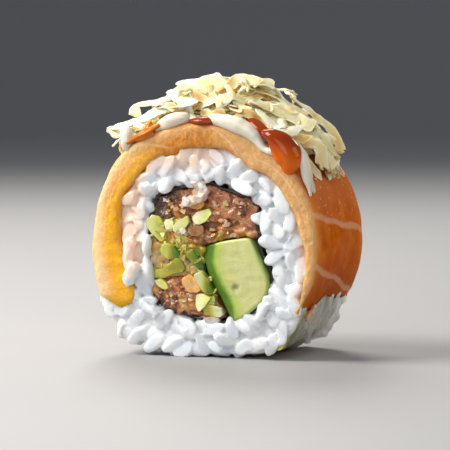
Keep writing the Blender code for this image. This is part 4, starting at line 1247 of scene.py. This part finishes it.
def fat_line_group():
    """A soft line across a surface: where 'around' comes near a centre that drifts with 'along'."""
    tree = bpy.data.node_groups.new("fat_line", "ShaderNodeTree")
    for name in ("Around", "Along", "Centre", "Drift", "Half width", "Wobble"):
        tree.interface.new_socket(name, in_out="INPUT", socket_type="NodeSocketFloat")
    tree.interface.new_socket("Line", in_out="OUTPUT", socket_type="NodeSocketFloat")
    around, along, centre, drift, half_width, wobble = tree.nodes.new("NodeGroupInput").outputs[:6]
    noise = node(tree, "TexNoise", {"Vector": on_surface(tree), "Scale": 160.0, "Detail": 3.0}).outputs["Fac"]
    drifted = worked(tree, "MULTIPLY_ADD", along, drift, centre)
    wavy = worked(tree, "MULTIPLY_ADD", worked(tree, "SUBTRACT", noise, 0.5), wobble, drifted)
    away = worked(tree, "ABSOLUTE", worked(tree, "SUBTRACT", around, wavy))
    line = eased(tree, worked(tree, "DIVIDE", away, half_width), 0.2, 1.6, 1.0, 0.0)
    tree.links.new(line, tree.nodes.new("NodeGroupOutput").inputs["Line"])
    return tree


def both(one, two):
    return worked(tree, "MULTIPLY", one, two)


def strongest(masks):
    result = masks[0]
    for mask in masks[1:]:
        result = worked(tree, "MAXIMUM", result, mask)
    return result


def one_fat_line(around, along, *values):
    """A line from its centre, drift, half width and wobble."""
    line = tree.nodes.new("ShaderNodeGroup")
    line.node_tree = fat_line
    tree.links.new(around, line.inputs["Around"])
    tree.links.new(along, line.inputs["Along"])
    for name, value in zip(("Centre", "Drift", "Half width", "Wobble"), values):
        line.inputs[name].default_value = value
    return line.outputs[0]


fat_line = fat_line_group()
salmon_look, tree, shader = new_material(
    "raw_salmon",
    Subsurface_Weight=0.55,
    Subsurface_Scale=0.0022,
    Coat_Weight=0.1,
    Coat_Roughness=0.05,
    IOR=1.35,
)
shader.inputs["Subsurface Radius"].default_value = (1.0, 0.45, 0.15)
cloud = mottled(tree, 4.0 * MM, 0.45 * MM)
turn, depth, on_cut = stored(tree, "around"), stored(tree, "through"), stored(tree, "cut")
along = axis_place(tree, "Y")
where = {"Vector": on_surface(tree), "Rotation": (0, 0.7, 0), "Scale": (1300, 700, 800)}
where = node(tree, "Mapping", where).outputs[0]
fibres = node(tree, "TexNoise", {"Vector": where, "Scale": 1.0, "Detail": 3.0}).outputs["Fac"]
flecks_and_glints = node(tree, "TexNoise", {"Vector": where, "Scale": 1.3, "Detail": 1.0}).outputs["Fac"]
leftward = eased(tree, turn, 60, 165)

# The outside: deeper orange on the right and yellower on the left, partly its own colour and partly painted
# light and shade, with clouds and blots; paler near the cut faces, a painted glow.
skin = blended(tree, leftward, (0.62, 0.115, 0.001, 1), (0.88, 0.42, 0.09, 1))
skin = layered(tree, skin, ((cloud["Large"], 0.45, 0.75, 0, 0.6, (0.80, 0.26, 0.03)),))
blots = eased(tree, cloud["Large"], 0.3, 0.5, 0.5, 0.0)
skin = blended(tree, blots, skin, blended(tree, leftward, (0.40, 0.06, 0.001, 1), (0.80, 0.30, 0.04, 1)))
layers = (
    # Painted glow near the cut faces, where light comes through the thin flesh.
    (worked(tree, "ABSOLUTE", along), 9.5 * MM, SLICE_HALF_LENGTH, 0, 0.6, (0.92, 0.36, 0.05)),
    # Painted shade: darker low on the right, where the skin faces the floor.
    (turn, -28, 4, 0.7, 0, (0.40, 0.06, 0.002)),
)
skin = layered(tree, skin, layers)
# Upper right: a pinker red-brown, partly the flesh's own tone and partly a painted sheen.
high_right = both(eased(tree, turn, 0, 30, 0, 0.65), eased(tree, leftward, 0.0, 0.3, 1.0, 0.0))
skin = blended(tree, high_right, skin, (0.66, 0.19, 0.07, 1))
# Painted glints: small pale spots, mostly on the upper right, in place of sparkling highlights.
flecks_and_glints = both(eased(tree, flecks_and_glints, 0.66, 0.74, 0, 0.5), eased(tree, turn, -10, 30, 0.1, 1.0))
skin = blended(tree, flecks_and_glints, skin, (0.95, 0.60, 0.34, 1))

# The cut faces: golden on the left, partly their own colour and partly a painted glow of light through the
# flesh; a dark crown at the top; a pale rim on the left, which is painted rim light; and fine fibres.
edge = blended(tree, leftward, (0.72, 0.415, 0.17, 1), (0.92, 0.46, 0.021, 1))
crown = eased(tree, worked(tree, "SUBTRACT", turn, 103.0), -45, 45)
crown = worked(tree, "ABSOLUTE", worked(tree, "SUBTRACT", crown, 0.5))
edge = layered(tree, edge, ((crown, 0.15, 0.5, 0.85, 0, (0.56, 0.185, 0.017)),))
# Painted rim light: paler where the cut face nears the outer surface on the left.
edge = blended(tree, both(eased(tree, depth, 0.15, 0.6, 1.0, 0.0), leftward), edge, (0.89, 0.63, 0.35, 1))
edge = layered(tree, edge, ((fibres, 0.42, 0.66, 0, 0.28, (0.90, 0.58, 0.25)),))

outside, inside_face = [], []
for centre, drift, half_width in FAT_LINES:
    slope = drift / (2 * SLICE_HALF_LENGTH)
    outside.append(one_fat_line(turn, along, centre + drift / 2, slope, half_width, FAT_WOBBLE))
for share, at, drift, half_width, start, stop in FACE_LINES:
    line = one_fat_line(depth, turn, share - at * drift, drift, half_width, FACE_WOBBLE)
    ends = both(eased(tree, turn, start, start + 6), eased(tree, turn, stop - 6, stop, 1.0, 0.0))
    inside_face.append(both(line, ends))
off_cut = eased(tree, on_cut, 0.3, 1.0, 1.0, 0.0)
lines = strongest([both(strongest(outside), off_cut), both(strongest(inside_face), on_cut)])
flesh = blended(tree, on_cut, skin, edge)
flesh = layered(tree, flesh, ((lines, 0, 1, 0, 0.36, (0.93, 0.66, 0.42)),))
ripples = worked(tree, "MULTIPLY_ADD", cloud["Small"], 0.25, cloud["Large"])
grain = worked(tree, "ADD", fibres, cloud["Small"])
relief = node(tree, "Mix", {0: on_cut, 2: ripples, 3: grain}, data_type="FLOAT").outputs[0]
paint_moist(tree, shader, flesh, cloud["Small"], (0.35, 0.7, 0.2, 0.42), relief, (0.55, 0.0007))
shader.inputs["Specular IOR Level"].default_value = 0.0
salmon.data.materials.append(salmon_look)
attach(salmon, "root")
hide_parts("salmon_slice")

# ---- Mayonnaise ----
# Mayonnaise spread over the slice's top under the shreds, where it holds them. It runs out in ribbons at
# the cut face, and one band has run down the right side. Glossy, opaque, off-white.

MAYO_VOXEL = 0.3 * MM
MAYO_BLOBS = 340
ALONG_ROLL = (0, 1, 0.01)  # a direction along the roll, a hair off its axis
# Ribbons: (x, y, z, half width) along each one.
MAYO_RIBBONS = (
    ((1.2, -12.6, 47.9, 1.0), (4.2, -13.3, 47.5, 1.5), (7.3, -13.6, 46.6, 1.6), (9.8, -13.7, 45.4, 1.35),
     (11.6, -14.0, 43.6, 1.0), (12.5, -14.2, 42.2, 0.7)),
    ((12.6, -14.2, 42.3, 0.6), (14.2, -14.5, 41.6, 0.7), (15.2, -14.4, 42.0, 0.6),
     (15.4, -14.1, 43.0, 0.5)),
    ((18.6, -11.4, 43.2, 0.6), (20.0, -12.0, 41.4, 0.9), (20.8, -12.3, 39.6, 1.1), (21.2, -12.3, 37.8, 1.2),
     (21.4, -12.5, 36.2, 0.9), (21.8, -12.6, 34.6, 0.6), (22.2, -12.8, 33.0, 0.45)),
    ((-18.3, -11.8, 45.6, 0.8), (-17.2, -12.8, 44.4, 1.2), (-17.1, -13.4, 42.6, 1.0),
     (-17.1, -13.6, 41.4, 0.5)),
    ((-10.0, -12.6, 46.7, 0.8), (-7.6, -13.0, 47.4, 1.3), (-5.2, -12.9, 48.0, 1.2),
     (-4.0, -12.6, 48.2, 0.7)),
)
# The run down the right side, from its foot up: size along the roll, down the side and through.
MAYO_RUN = ((2.2, 2.2, 1.2), (2.8, 2.9, 1.7), (3.0, 3.0, 1.8), (2.4, 2.8, 1.5), (1.7, 2.4, 1.1))

draw = np.random.default_rng(71)
places = []
for ribbon in MAYO_RIBBONS:
    for x, y, z, half in smooth_path(ribbon, 26):
        wide = half * 2.5 * MM * draw.uniform(0.9, 1.1)
        out = (x, 0, z - ROLL_MIDDLE[1])
        places.append(placed((x * MM, y * MM, z * MM), ALONG_ROLL, out, (wide, wide, wide * 0.85)))
for _ in range(MAYO_BLOBS):
    turn, along = draw.uniform(50, 141), draw.uniform(-12.0, 12.0)
    if turn > 128 and along < -6:
        continue
    spot = on_roll(turn, radius_at(roll_edge, turn) + draw.uniform(0.1, 0.8) * MM, along * MM)
    size = np.array((draw.uniform(3.5, 6), draw.uniform(3.5, 6), draw.uniform(1.2, 2.2))) * MM
    places.append(placed(spot, ALONG_ROLL, out_of_roll(turn), size))
mayo = piece("mayonnaise_spread", *many(ball(3), places))
melt(mayo, MAYO_VOXEL)
set_positions(mayo, relaxed(mayo, positions(mayo), 12))
places = []
for k, size in enumerate(MAYO_RUN, -2):
    turn = 31 + k * 2.4
    spot = on_roll(turn, radius_at(roll_edge, turn) + 0.35 * MM, (-9.6 + k * 0.25) * MM)
    places.append(placed(spot, ALONG_ROLL, (1, 0, 0.4), np.array(size) * MM))
drip = piece("mayonnaise_run", *many(ball(3), places))
melt(drip, MAYO_VOXEL)
set_positions(drip, relaxed(drip, positions(drip), 4))
mayo_look, tree, shader = new_material(
    "mayonnaise",
    Subsurface_Weight=0.5,
    Subsurface_Scale=0.0012,
    Roughness=0.28,
    Coat_Weight=0.4,
    Coat_Roughness=0.1,
)
shader.inputs["Base Color"].default_value = (0.74, 0.69, 0.56, 1)
cloud = mottled(tree, 2.5 * MM, 0.6 * MM)
paint(tree, shader, Normal=bumped(tree, cloud["Large"], 0.2, 0.0006))
for obj, solid in ((mayo, "mayonnaise"), (drip, "mayonnaise_drip")):
    obj.data.materials.append(mayo_look)
    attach(obj, "root")
    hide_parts(solid)

# ---- Sauce ----
# A sweet, glossy chilli sauce; its colour darkens towards the top, and the bright orange lower down is partly
# a painted glow of light through the drop. One large drop hangs over the top front edge, a thin one lies at
# the upper left, and patches are caught between the mayonnaise, the slice and the shreds.

SAUCE_VOXEL = 0.22 * MM
# Paths that make each pool up: (x, y, z, half width, half thickness) along each one.
RIGHT_DROP = (
    ((13.2, -13.7, 45.1, 1.2, 0.9), (15.0, -13.9, 44.5, 2.0, 1.4), (16.8, -13.7, 43.3, 2.6, 1.8),
     (18.0, -13.6, 41.7, 2.8, 1.9), (18.2, -13.7, 40.1, 2.4, 1.7), (17.9, -13.8, 38.5, 1.6, 1.2)),
    ((15.6, -13.9, 43.2, 2.0, 1.4), (17.0, -14.1, 40.6, 2.2, 1.6)),
)
LEFT_DROP = (
    ((-17.0, -14.0, 42.6, 0.5, 0.5), (-15.6, -14.0, 43.5, 0.8, 0.5), (-14.0, -13.8, 44.6, 1.3, 0.45),
     (-12.4, -13.6, 45.3, 1.7, 0.5), (-10.8, -13.3, 46.2, 1.3, 0.5), (-9.6, -13.0, 46.8, 0.9, 0.45),
     (-8.4, -12.8, 47.5, 0.5, 0.4)),
    ((-14.4, -13.8, 43.5, 0.6, 0.35), (-13.0, -13.9, 44.0, 1.0, 0.4), (-11.0, -13.8, 44.6, 0.6, 0.35)),
    ((-12.6, -13.4, 45.6, 0.9, 0.45), (-12.2, -13.0, 46.9, 0.6, 0.4)),
)
SAUCE_POOLS = (
    ((-2.8, -13.1, 47.4, 0.8, 0.6), (-0.8, -13.3, 47.5, 1.4, 0.8), (1.0, -13.2, 47.5, 1.3, 0.8),
     (2.6, -12.9, 47.6, 0.8, 0.6)),
    ((8.8, -11.0, 47.6, 1.1, 0.8), (10.6, -12.0, 46.7, 1.5, 0.9), (12.0, -12.8, 45.8, 1.4, 0.9),
     (13.4, -13.2, 45.1, 1.2, 0.8)),
    ((4.2, -8.0, 50.7, 1.0, 0.7), (6.2, -8.4, 50.2, 1.4, 0.8), (8.0, -9.0, 49.5, 1.0, 0.7)),
)


def pool(name, paths):
    """A pool of sauce from balls along its paths, flattened towards the roll and melted together."""
    places = []
    for x, y, z, half, thick in np.concatenate([smooth_path(path, 40) for path in paths]):
        out = Vector((x, -9.0, z - ROLL_MIDDLE[1])).normalized()
        size = (2 * half * MM, 2 * half * MM, 2 * thick * MM)
        places.append(placed((x * MM, y * MM, z * MM), (-out.z, 0, out.x), out, size))
    obj = piece(name, *many(ball(4), places))
    melt(obj, SAUCE_VOXEL)
    set_positions(obj, relaxed(obj, positions(obj), 6))
    return obj


right_drop = pool("sauce_drop_front", RIGHT_DROP)
left_drop = pool("sauce_drop_side", LEFT_DROP)
pools = pool("sauce_pools", SAUCE_POOLS)
sauce_look, tree, shader = new_material(
    "orange_sauce", Transmission_Weight=0.12, Roughness=0.05, IOR=1.3, Coat_Weight=0.08, Coat_Roughness=0.03
)
layers = (
    # Darker red-brown towards the top; the bright orange below it is partly a painted glow of light through
    # the drop.
    (axis_place(tree, "Z"), 38.5 * MM, 44.5 * MM, 0, 1, (0.30, 0.035, 0.002)),
    (axis_place(tree, "X"), -11 * MM, -6 * MM, 1, 0, (0.62, 0.17, 0.006)),
)
paint(tree, shader, Base_Color=layered(tree, (0.84, 0.15, 0.001, 1), layers))
for obj, solid in ((right_drop, "sauce_drop_right"), (left_drop, "sauce_drop_left"), (pools, None)):
    obj.data.materials.append(sauce_look)
    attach(obj, "root")
    if solid:
        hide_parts(solid)

# ---- Crisp shreds ----
# A heap of thin fried shreds, cream to golden, crumpled and curled in the oil. They are stuck to the
# mayonnaise at the bottom, lie across each other, and stand up here and there with air between them.

SHRED_THICKNESS = 0.3 * MM
SHRED_CREASE = math.radians(50)
SHRED_STEPS = 26  # cross-sections along each one
# The ones at the front and on the outline: width in mm, tint (0 is nearly white, 1 is golden brown), twist
# in degrees, and the path.
SHREDS = (
    (3.8, 0.26, 66, ((-9.2, -3, 53.2), (-4.2, -3, 54.2), (0.8, -3.5, 55.7))),
    (2.8, 0.3, 60, ((-9.6, -4, 51.8), (-6.6, -4, 53.0), (-2.2, -4, 53.4))),
    (2.3, 0.35, 10, ((-16.8, -9, 48.2), (-17.2, -8, 50.3), (-13.5, -7, 51.2), (-10.0, -6, 52.0))),
    (2.2, 0.15, 15, ((-21.3, -11, 45.2), (-18.2, -11.5, 46.5), (-13.6, -11.5, 48.0), (-10.8, -11, 49.3),
     (-7.7, -10, 50.3))),
    (2.0, 0.1, 10, ((-22.4, -10, 45.3), (-19.6, -11.2, 44.8), (-17.3, -12, 45.6))),
    (3.8, 0.02, 30, ((-8.6, -8.5, 53.2), (-6.4, -10.0, 51.6), (-3.4, -11.8, 49.8))),
    (2.8, 0.12, -25, ((-7.6, -10.5, 49.4), (-4.6, -12, 50.2), (-2.2, -12, 51.6))),
    (2.2, 0.3, 0, ((-1.8, -10, 50.6), (1.0, -10, 51.8), (4.1, -9, 52.6))),
    (2.2, 0.6, 20, ((-1.2, -12, 49.0), (1.4, -12.6, 48.6), (3.6, -12.4, 48.9))),
    (1.6, 0.25, 0, ((-5.4, -12.3, 48.3), (-3.6, -12.8, 48.4), (-2.0, -12.8, 48.0))),
    (2.0, 0.7, 30, ((-3.2, -7, 50.8), (-0.6, -7, 52.8), (1.6, -6, 54.4))),
    (2.2, 0.35, 60, ((1.6, -5, 53.6), (3.4, -4, 55.6), (6.6, -4, 55.3), (8.0, -4, 54.8))),
    (2.0, 0.25, -20, ((2.4, -7, 54.6), (4.4, -8.5, 52.2), (6.4, -9.5, 50.4), (8.8, -10, 49.6))),
    (2.0, 0.2, 20, ((3.8, -5, 53.2), (6.2, -4, 54.7), (8.8, -3, 55.2), (10.6, -2, 54.6))),
    (2.0, 0.4, 10, ((4.1, -4, 52.2), (7.4, -2, 53.8), (11.6, 0, 53.4), (13.8, 1, 52.6))),
    (2.6, 0.3, 0, ((7.0, -3, 53.0), (10.7, -2, 52.0), (13.9, -1, 50.4), (16.6, 1, 48.4))),
    (3.0, 0.3, 10, ((7.2, -8, 51.2), (11.7, -7, 49.8), (16.4, -6, 47.6), (20.0, -5, 46.0))),
    (2.0, 0.35, 30, ((12.6, 1, 52.0), (15.4, 3, 49.8), (18.2, 5, 47.0), (20.4, 6, 44.2), (21.9, 7, 41.2))),
    (2.2, 0.3, 15, ((15.6, -2, 48.8), (18.7, 0, 46.0), (21.8, 2, 42.8))),
    (2.4, 0.1, -10, ((10.4, -9.6, 49.4), (13.4, -11, 46.9), (16.4, -11, 45.3), (18.8, -9, 45.7))),
    (1.8, 0.75, 30, ((5.2, -11.5, 47.8), (7.6, -11.6, 49.2), (10.2, -11.2, 48.2), (12.0, -11.6, 46.4))),
    (2.2, 0.5, 10, ((16.8, -9, 44.8), (20.4, -7.4, 43.6), (23.0, -4.6, 41.9))),
    (2.4, 0.45, 60, ((19.6, -8.8, 43.6), (21.8, -8.6, 43.0), (22.6, -7.6, 40.6), (22.6, -7, 38.6))),
    (1.8, 0.35, 20, ((22.0, -5.2, 43.0), (23.4, -4.6, 40.2), (24.2, -4, 38.0))),
    (2.2, 0.2, -30, ((-14.6, -9, 48.6), (-11.4, -9, 50.4), (-8.2, -8.4, 51.4))),
    (2.6, 0.45, 35, ((-12.4, -5, 51.6), (-8.6, -5, 53.4), (-5.0, -5, 53.0))),
    (1.8, 0.55, -15, ((-12.6, -9.5, 49.4), (-9.6, -10.6, 50.4), (-7.0, -11.2, 49.6))),
    (1.6, 0.6, 25, ((-5.6, -8.6, 53.4), (-3.4, -9.0, 52.0), (0.2, -9.4, 50.4))),
    (1.8, 0.4, -35, ((0.2, -8.4, 53.2), (2.2, -9.8, 51.2), (5.8, -10.6, 50.2))),
    (2.0, 0.85, 20, ((8.6, -10.6, 48.2), (11.2, -11.8, 46.8), (13.6, -12.6, 45.4))),
)
FILLING_SHREDS = 120  # at random between and behind them
# The heap's height over the roll: (degrees round the roll, mm).
HEAP_HEIGHTS = (
    (32, 1.6), (44, 3.6), (60, 6.2), (76, 7.8), (92, 8.2), (108, 7.4), (124, 5.0), (140, 2.6),
)


def shred(path, width, twist, seed):
    """A thin crumpled ribbon along a path; its flat side faces away from the roll, turned by the twist.

    Returns its vertices and faces, and what each vertex adds to its tint: its edges are paler.
    """
    draw = np.random.default_rng(seed)
    path = np.array(path) * MM
    spread = np.linspace(0, len(path) - 1, SHRED_STEPS)
    bent = np.stack([np.interp(spread, np.arange(len(path)), path[:, axis]) for axis in range(3)], axis=-1)
    middle = smooth_path(path, SHRED_STEPS) * 0.5 + bent * 0.5
    facing = 1.6 if middle[:, 1].mean() < -5 * MM else 0.3
    middle = middle + sway(middle, 3.2 * MM, seed) * 0.3 * MM
    along = np.gradient(middle, axis=0)
    along /= np.linalg.norm(along, axis=1)[:, None]
    out = middle * (1, facing, 1) - (0, 0, ROLL_MIDDLE[1] * MM)
    out -= (out * along).sum(axis=1)[:, None] * along
    out /= np.linalg.norm(out, axis=1)[:, None]
    across = np.cross(out, along)
    turned = np.radians(twist + np.linspace(-1, 1, SHRED_STEPS) * draw.uniform(-45, 45))[:, None]
    level, steep = np.cos(turned), np.sin(turned)
    across, out = across * level + out * steep, out * level - across * steep
    from_end = np.minimum(np.arange(SHRED_STEPS), np.arange(SHRED_STEPS)[::-1])
    ends = np.clip(from_end / 2 + draw.uniform(0.55, 1.0), 0, 1)
    slants = draw.uniform(-1.1, 1.1, 2)
    fold, curl = draw.uniform(-0.5, 0.5), draw.uniform(-0.35, 0.35)
    sideways = np.array((-1, -0.6, 0, 0.6, 1, 1, 0.6, 0, -0.6, -1))
    upper = np.array((0.4, 1, 1, 1, 0.4, -0.4, -1, -1, -1, -0.4)) * SHRED_THICKNESS / 2
    torn = []
    for k in (seed + 5, seed + 6):
        torn.append(1 + lumps(middle, 1.5 * MM, k) * 0.22 + lumps(middle, 0.7 * MM, k + 2) * 0.12)
    rings = []
    for i in range(SHRED_STEPS):
        half = width * MM / 2 * ends[i] * np.where(sideways < 0, torn[0][i], torn[1][i])
        lift = (fold * (np.abs(sideways) - 0.5) + curl * (sideways**2 - 0.4)) * half
        slant = slants[int(i > SHRED_STEPS / 2)] * max(0, 1 - from_end[i] / 4) * sideways * half
        ring = middle[i] + np.outer(sideways * half, across[i]) + np.outer(upper + lift, out[i])
        rings.append(ring + np.outer(slant, along[i]))
    verts, faces = capped_tube(rings)
    verts = verts + sway(verts, 2.4 * MM, seed + 9) * 0.3 * MM + sway(verts, 1.0 * MM, seed + 12) * 0.12 * MM
    return verts, faces, np.tile(0.14 - 0.34 * np.abs(sideways) ** 3, SHRED_STEPS)


draw = np.random.default_rng(83)
shapes, tints = [], []
for number, (width, tint, twist, path) in enumerate(SHREDS):
    verts, faces, paler = shred(path, width, twist, 200 + number)
    shapes.append((verts, faces))
    tints.append(tint + paler)
for number in range(FILLING_SHREDS):
    level = draw.uniform(0.0, 1.0)
    turn, along = draw.uniform(36, 138), draw.uniform(-9.5, 11.0)
    height = np.interp(turn, *zip(*HEAP_HEIGHTS)) * level * (1 - 0.35 * (along / 12) ** 2) + 1.1
    lie, half = draw.uniform(-1.2, 1.2), draw.uniform(3.8, 7.0)
    radius = radius_at(roll_edge, turn) / MM + height
    path = []
    for share in (-1, -0.4, 0.3, 1):
        angle = min(max(turn - math.degrees(share * half * math.cos(lie) / radius), 31), 143)
        reach = radius_at(roll_edge, angle) / MM + height + draw.uniform(-0.8, 0.8) - 0.5 * share * share
        spot = on_roll(angle, reach * MM, (along + share * half * math.sin(lie)) * MM) / MM
        path.append((spot[0], min(max(spot[1], -11.5), 12.8), spot[2]))
    verts, faces, paler = shred(path, draw.uniform(1.5, 2.7), draw.uniform(-40, 40), 300 + number)
    shapes.append((verts, faces))
    # The lower a shred lies in the heap, the more golden and dark its tint: partly its own colour, partly
    # painted shade.
    tints.append(draw.uniform(0.0, 0.45) + (1 - level) * 0.4 + paler)
shreds = piece("fried_shreds", *joined(shapes))
face_outwards(shreds)
shreds.data.set_sharp_from_angle(angle=SHRED_CREASE)
tints = np.concatenate(tints) + lumps(positions(shreds), 2.2 * MM, 91) * 0.28
set_values(shreds, "tint", np.clip(tints, 0, 1))
shred_look, tree, shader = new_material(
    "fried_shreds",
    Subsurface_Weight=0.5,
    Subsurface_Scale=0.0006,
    Roughness=0.45,
    Coat_Weight=0.1,
    Coat_Roughness=0.3,
)
shader.inputs["Subsurface Radius"].default_value = (1.0, 0.7, 0.35)
cloud = mottled(tree, 2.2 * MM, 0.4 * MM)
crisp = tinted(
    tree,
    stored(tree, "tint"),
    (
        (0.0, (0.94, 0.91, 0.76)),
        (0.25, (0.92, 0.85, 0.57)),
        (0.5, (0.86, 0.73, 0.36)),
        (0.8, (0.70, 0.45, 0.14)),
        (1.0, (0.42, 0.17, 0.02)),
    ),
)
crisp = layered(tree, crisp, ((cloud["Small"], 0.5, 0.75, 0, 0.3, (0.76, 0.58, 0.22)),))
paint(tree, shader, Base_Color=crisp, Normal=bumped(tree, cloud["Small"], 0.5, 0.0003))
shreds.data.materials.append(shred_look)
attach(shreds, "root")
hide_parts("crisp_shreds")

# ---- Scrap ----
# A soft scrap of salmon, torn off by the knife and stuck to the rice under the slice's right end.

SCRAP_ANGLE = -35.0
# Its chunks: offset and size.
SCRAP_CHUNKS = (
    ((0, 0, 0), (3.6, 2.9, 1.6)),
    ((0.6, 0.7, 1.0), (2.2, 2.0, 1.5)),
    ((-0.4, -0.9, -0.9), (2.0, 1.7, 1.3)),
)
draw = np.random.default_rng(37)
spot = on_roll(SCRAP_ANGLE, radius_at(roll_edge, SCRAP_ANGLE) - 0.1 * MM, -8 * MM)
shapes = []
for offset, size in SCRAP_CHUNKS:
    place = placed(spot + np.array(offset) * MM, (0.3, 1, 0.4), out_of_roll(SCRAP_ANGLE), np.array(size) * MM)
    shapes.append(many(chunk(draw), [place]))
scrap = piece("salmon_bit", *joined(shapes))
face_outwards(scrap)
melt(scrap, 0.15 * MM)
coords = relaxed(scrap, positions(scrap), 1)
coords += normals(scrap) * (lumps(coords, 0.7 * MM, 95) * 0.2 * MM)[:, None]
set_positions(scrap, coords)
set_values(scrap, "tint", 0.2 + 0.15 * lumps(coords, 1.0 * MM, 96))
scrap.data.materials.append(loose_look)
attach(scrap, "root")
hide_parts("salmon_scrap")

# ---- Studio ----
# A plain pale floor that bends up into a backdrop, a large soft light above the left with four weaker ones
# round it, and the camera a little to the right of the cut face.

CAMERA_TURN = 21.5  # degrees to the right of the cut face
CAMERA_RISE = 4.0
CAMERA_DISTANCE = 0.6
FRAME_WIDTH = 0.09  # what the frame takes in at that distance
CAMERA_SHIFT = (4.2 * MM, 3.2 * MM)  # to the right and up from the middle of the cut face
SENSOR_WIDTH = 36
FLOOR_REACH = 1.1
FLOOR_SIDES = 64
BACKDROP_BEND = 0.9
# Lights: place, what each is aimed at above the origin, size, watts and colour.
LIGHTS = {
    "key": ((-0.36, -0.18, 0.42), 0.025, 0.30, 4.6, (1.0, 0.96, 0.91)),
    "rim": ((-0.26, 0.36, 0.40), 0.03, 0.30, 2.4, (1.0, 0.96, 0.90)),
    "side": ((0.50, 0.12, 0.26), 0.03, 0.30, 0.7, (1.0, 0.84, 0.62)),
    "back": ((0.16, 0.56, 0.30), 0.03, 0.12, 0.45, (1.0, 0.95, 0.88)),
    "fill": ((0.05, -0.60, 0.30), 0.02, 0.50, 1.9, (0.92, 0.96, 1.0)),
}

turned = np.linspace(0, math.tau, FLOOR_SIDES, endpoint=False)
profile = [(0.02, 0.0), (0.5, 0.0), (FLOOR_REACH, 0.0)]
for bend in np.linspace(0, math.pi / 2, 16)[1:]:  # it bends up into the backdrop all round
    profile.append((FLOOR_REACH + BACKDROP_BEND * math.sin(bend), BACKDROP_BEND * (1 - math.cos(bend))))
rings = []
for radius, height in profile:
    ring = (radius * np.cos(turned), radius * np.sin(turned), np.full(FLOOR_SIDES, height))
    rings.append(np.stack(ring, axis=-1))
verts, faces = tube(rings, closed=False)
floor = piece("floor", verts, [tuple(reversed(face)) for face in faces] + [tuple(range(FLOOR_SIDES))])
floor_look, tree, shader = new_material("pale_floor", Roughness=0.6)
shader.inputs["Base Color"].default_value = (0.34, 0.34, 0.345, 1)
floor.data.materials.append(floor_look)


def stand(name, data, spot, facing):
    """A light or camera at a spot, looking one way."""
    obj = bpy.data.objects.new(name, data)
    obj.location = spot
    obj.rotation_mode = "QUATERNION"
    obj.rotation_quaternion = facing.to_track_quat("-Z", "Y")
    bpy.context.scene.collection.objects.link(obj)
    return obj


for name, (spot, aim_height, size, watts, colour) in LIGHTS.items():
    light = bpy.data.lights.new(name, "AREA")
    light.shape = "SQUARE"
    light.size = size
    light.energy = watts
    light.color = colour
    stand(name, light, spot, Vector((0, 0, aim_height)) - Vector(spot))
bpy.context.scene.view_settings.view_transform = "Standard"
world = bpy.data.worlds.new("studio")
world.use_nodes = True
background = world.node_tree.nodes["Background"].inputs
background["Color"].default_value = (0.80, 0.86, 1.0, 1)
background["Strength"].default_value = 0.20
bpy.context.scene.world = world

rise, swing = math.radians(CAMERA_RISE), math.radians(CAMERA_TURN)
back = Vector((math.sin(swing) * math.cos(rise), -math.cos(swing) * math.cos(rise), math.sin(rise)))
right = Vector((math.cos(swing), math.sin(swing), 0))
face_middle = Vector((ROLL_MIDDLE[0], -14, ROLL_MIDDLE[1])) * MM
aim = face_middle + right * CAMERA_SHIFT[0] + back.cross(right) * CAMERA_SHIFT[1]
lens = bpy.data.cameras.new("camera")
lens.sensor_width = SENSOR_WIDTH
lens.lens = SENSOR_WIDTH * CAMERA_DISTANCE / FRAME_WIDTH
bpy.context.scene.camera = stand("camera", lens, aim + back * CAMERA_DISTANCE, -back)
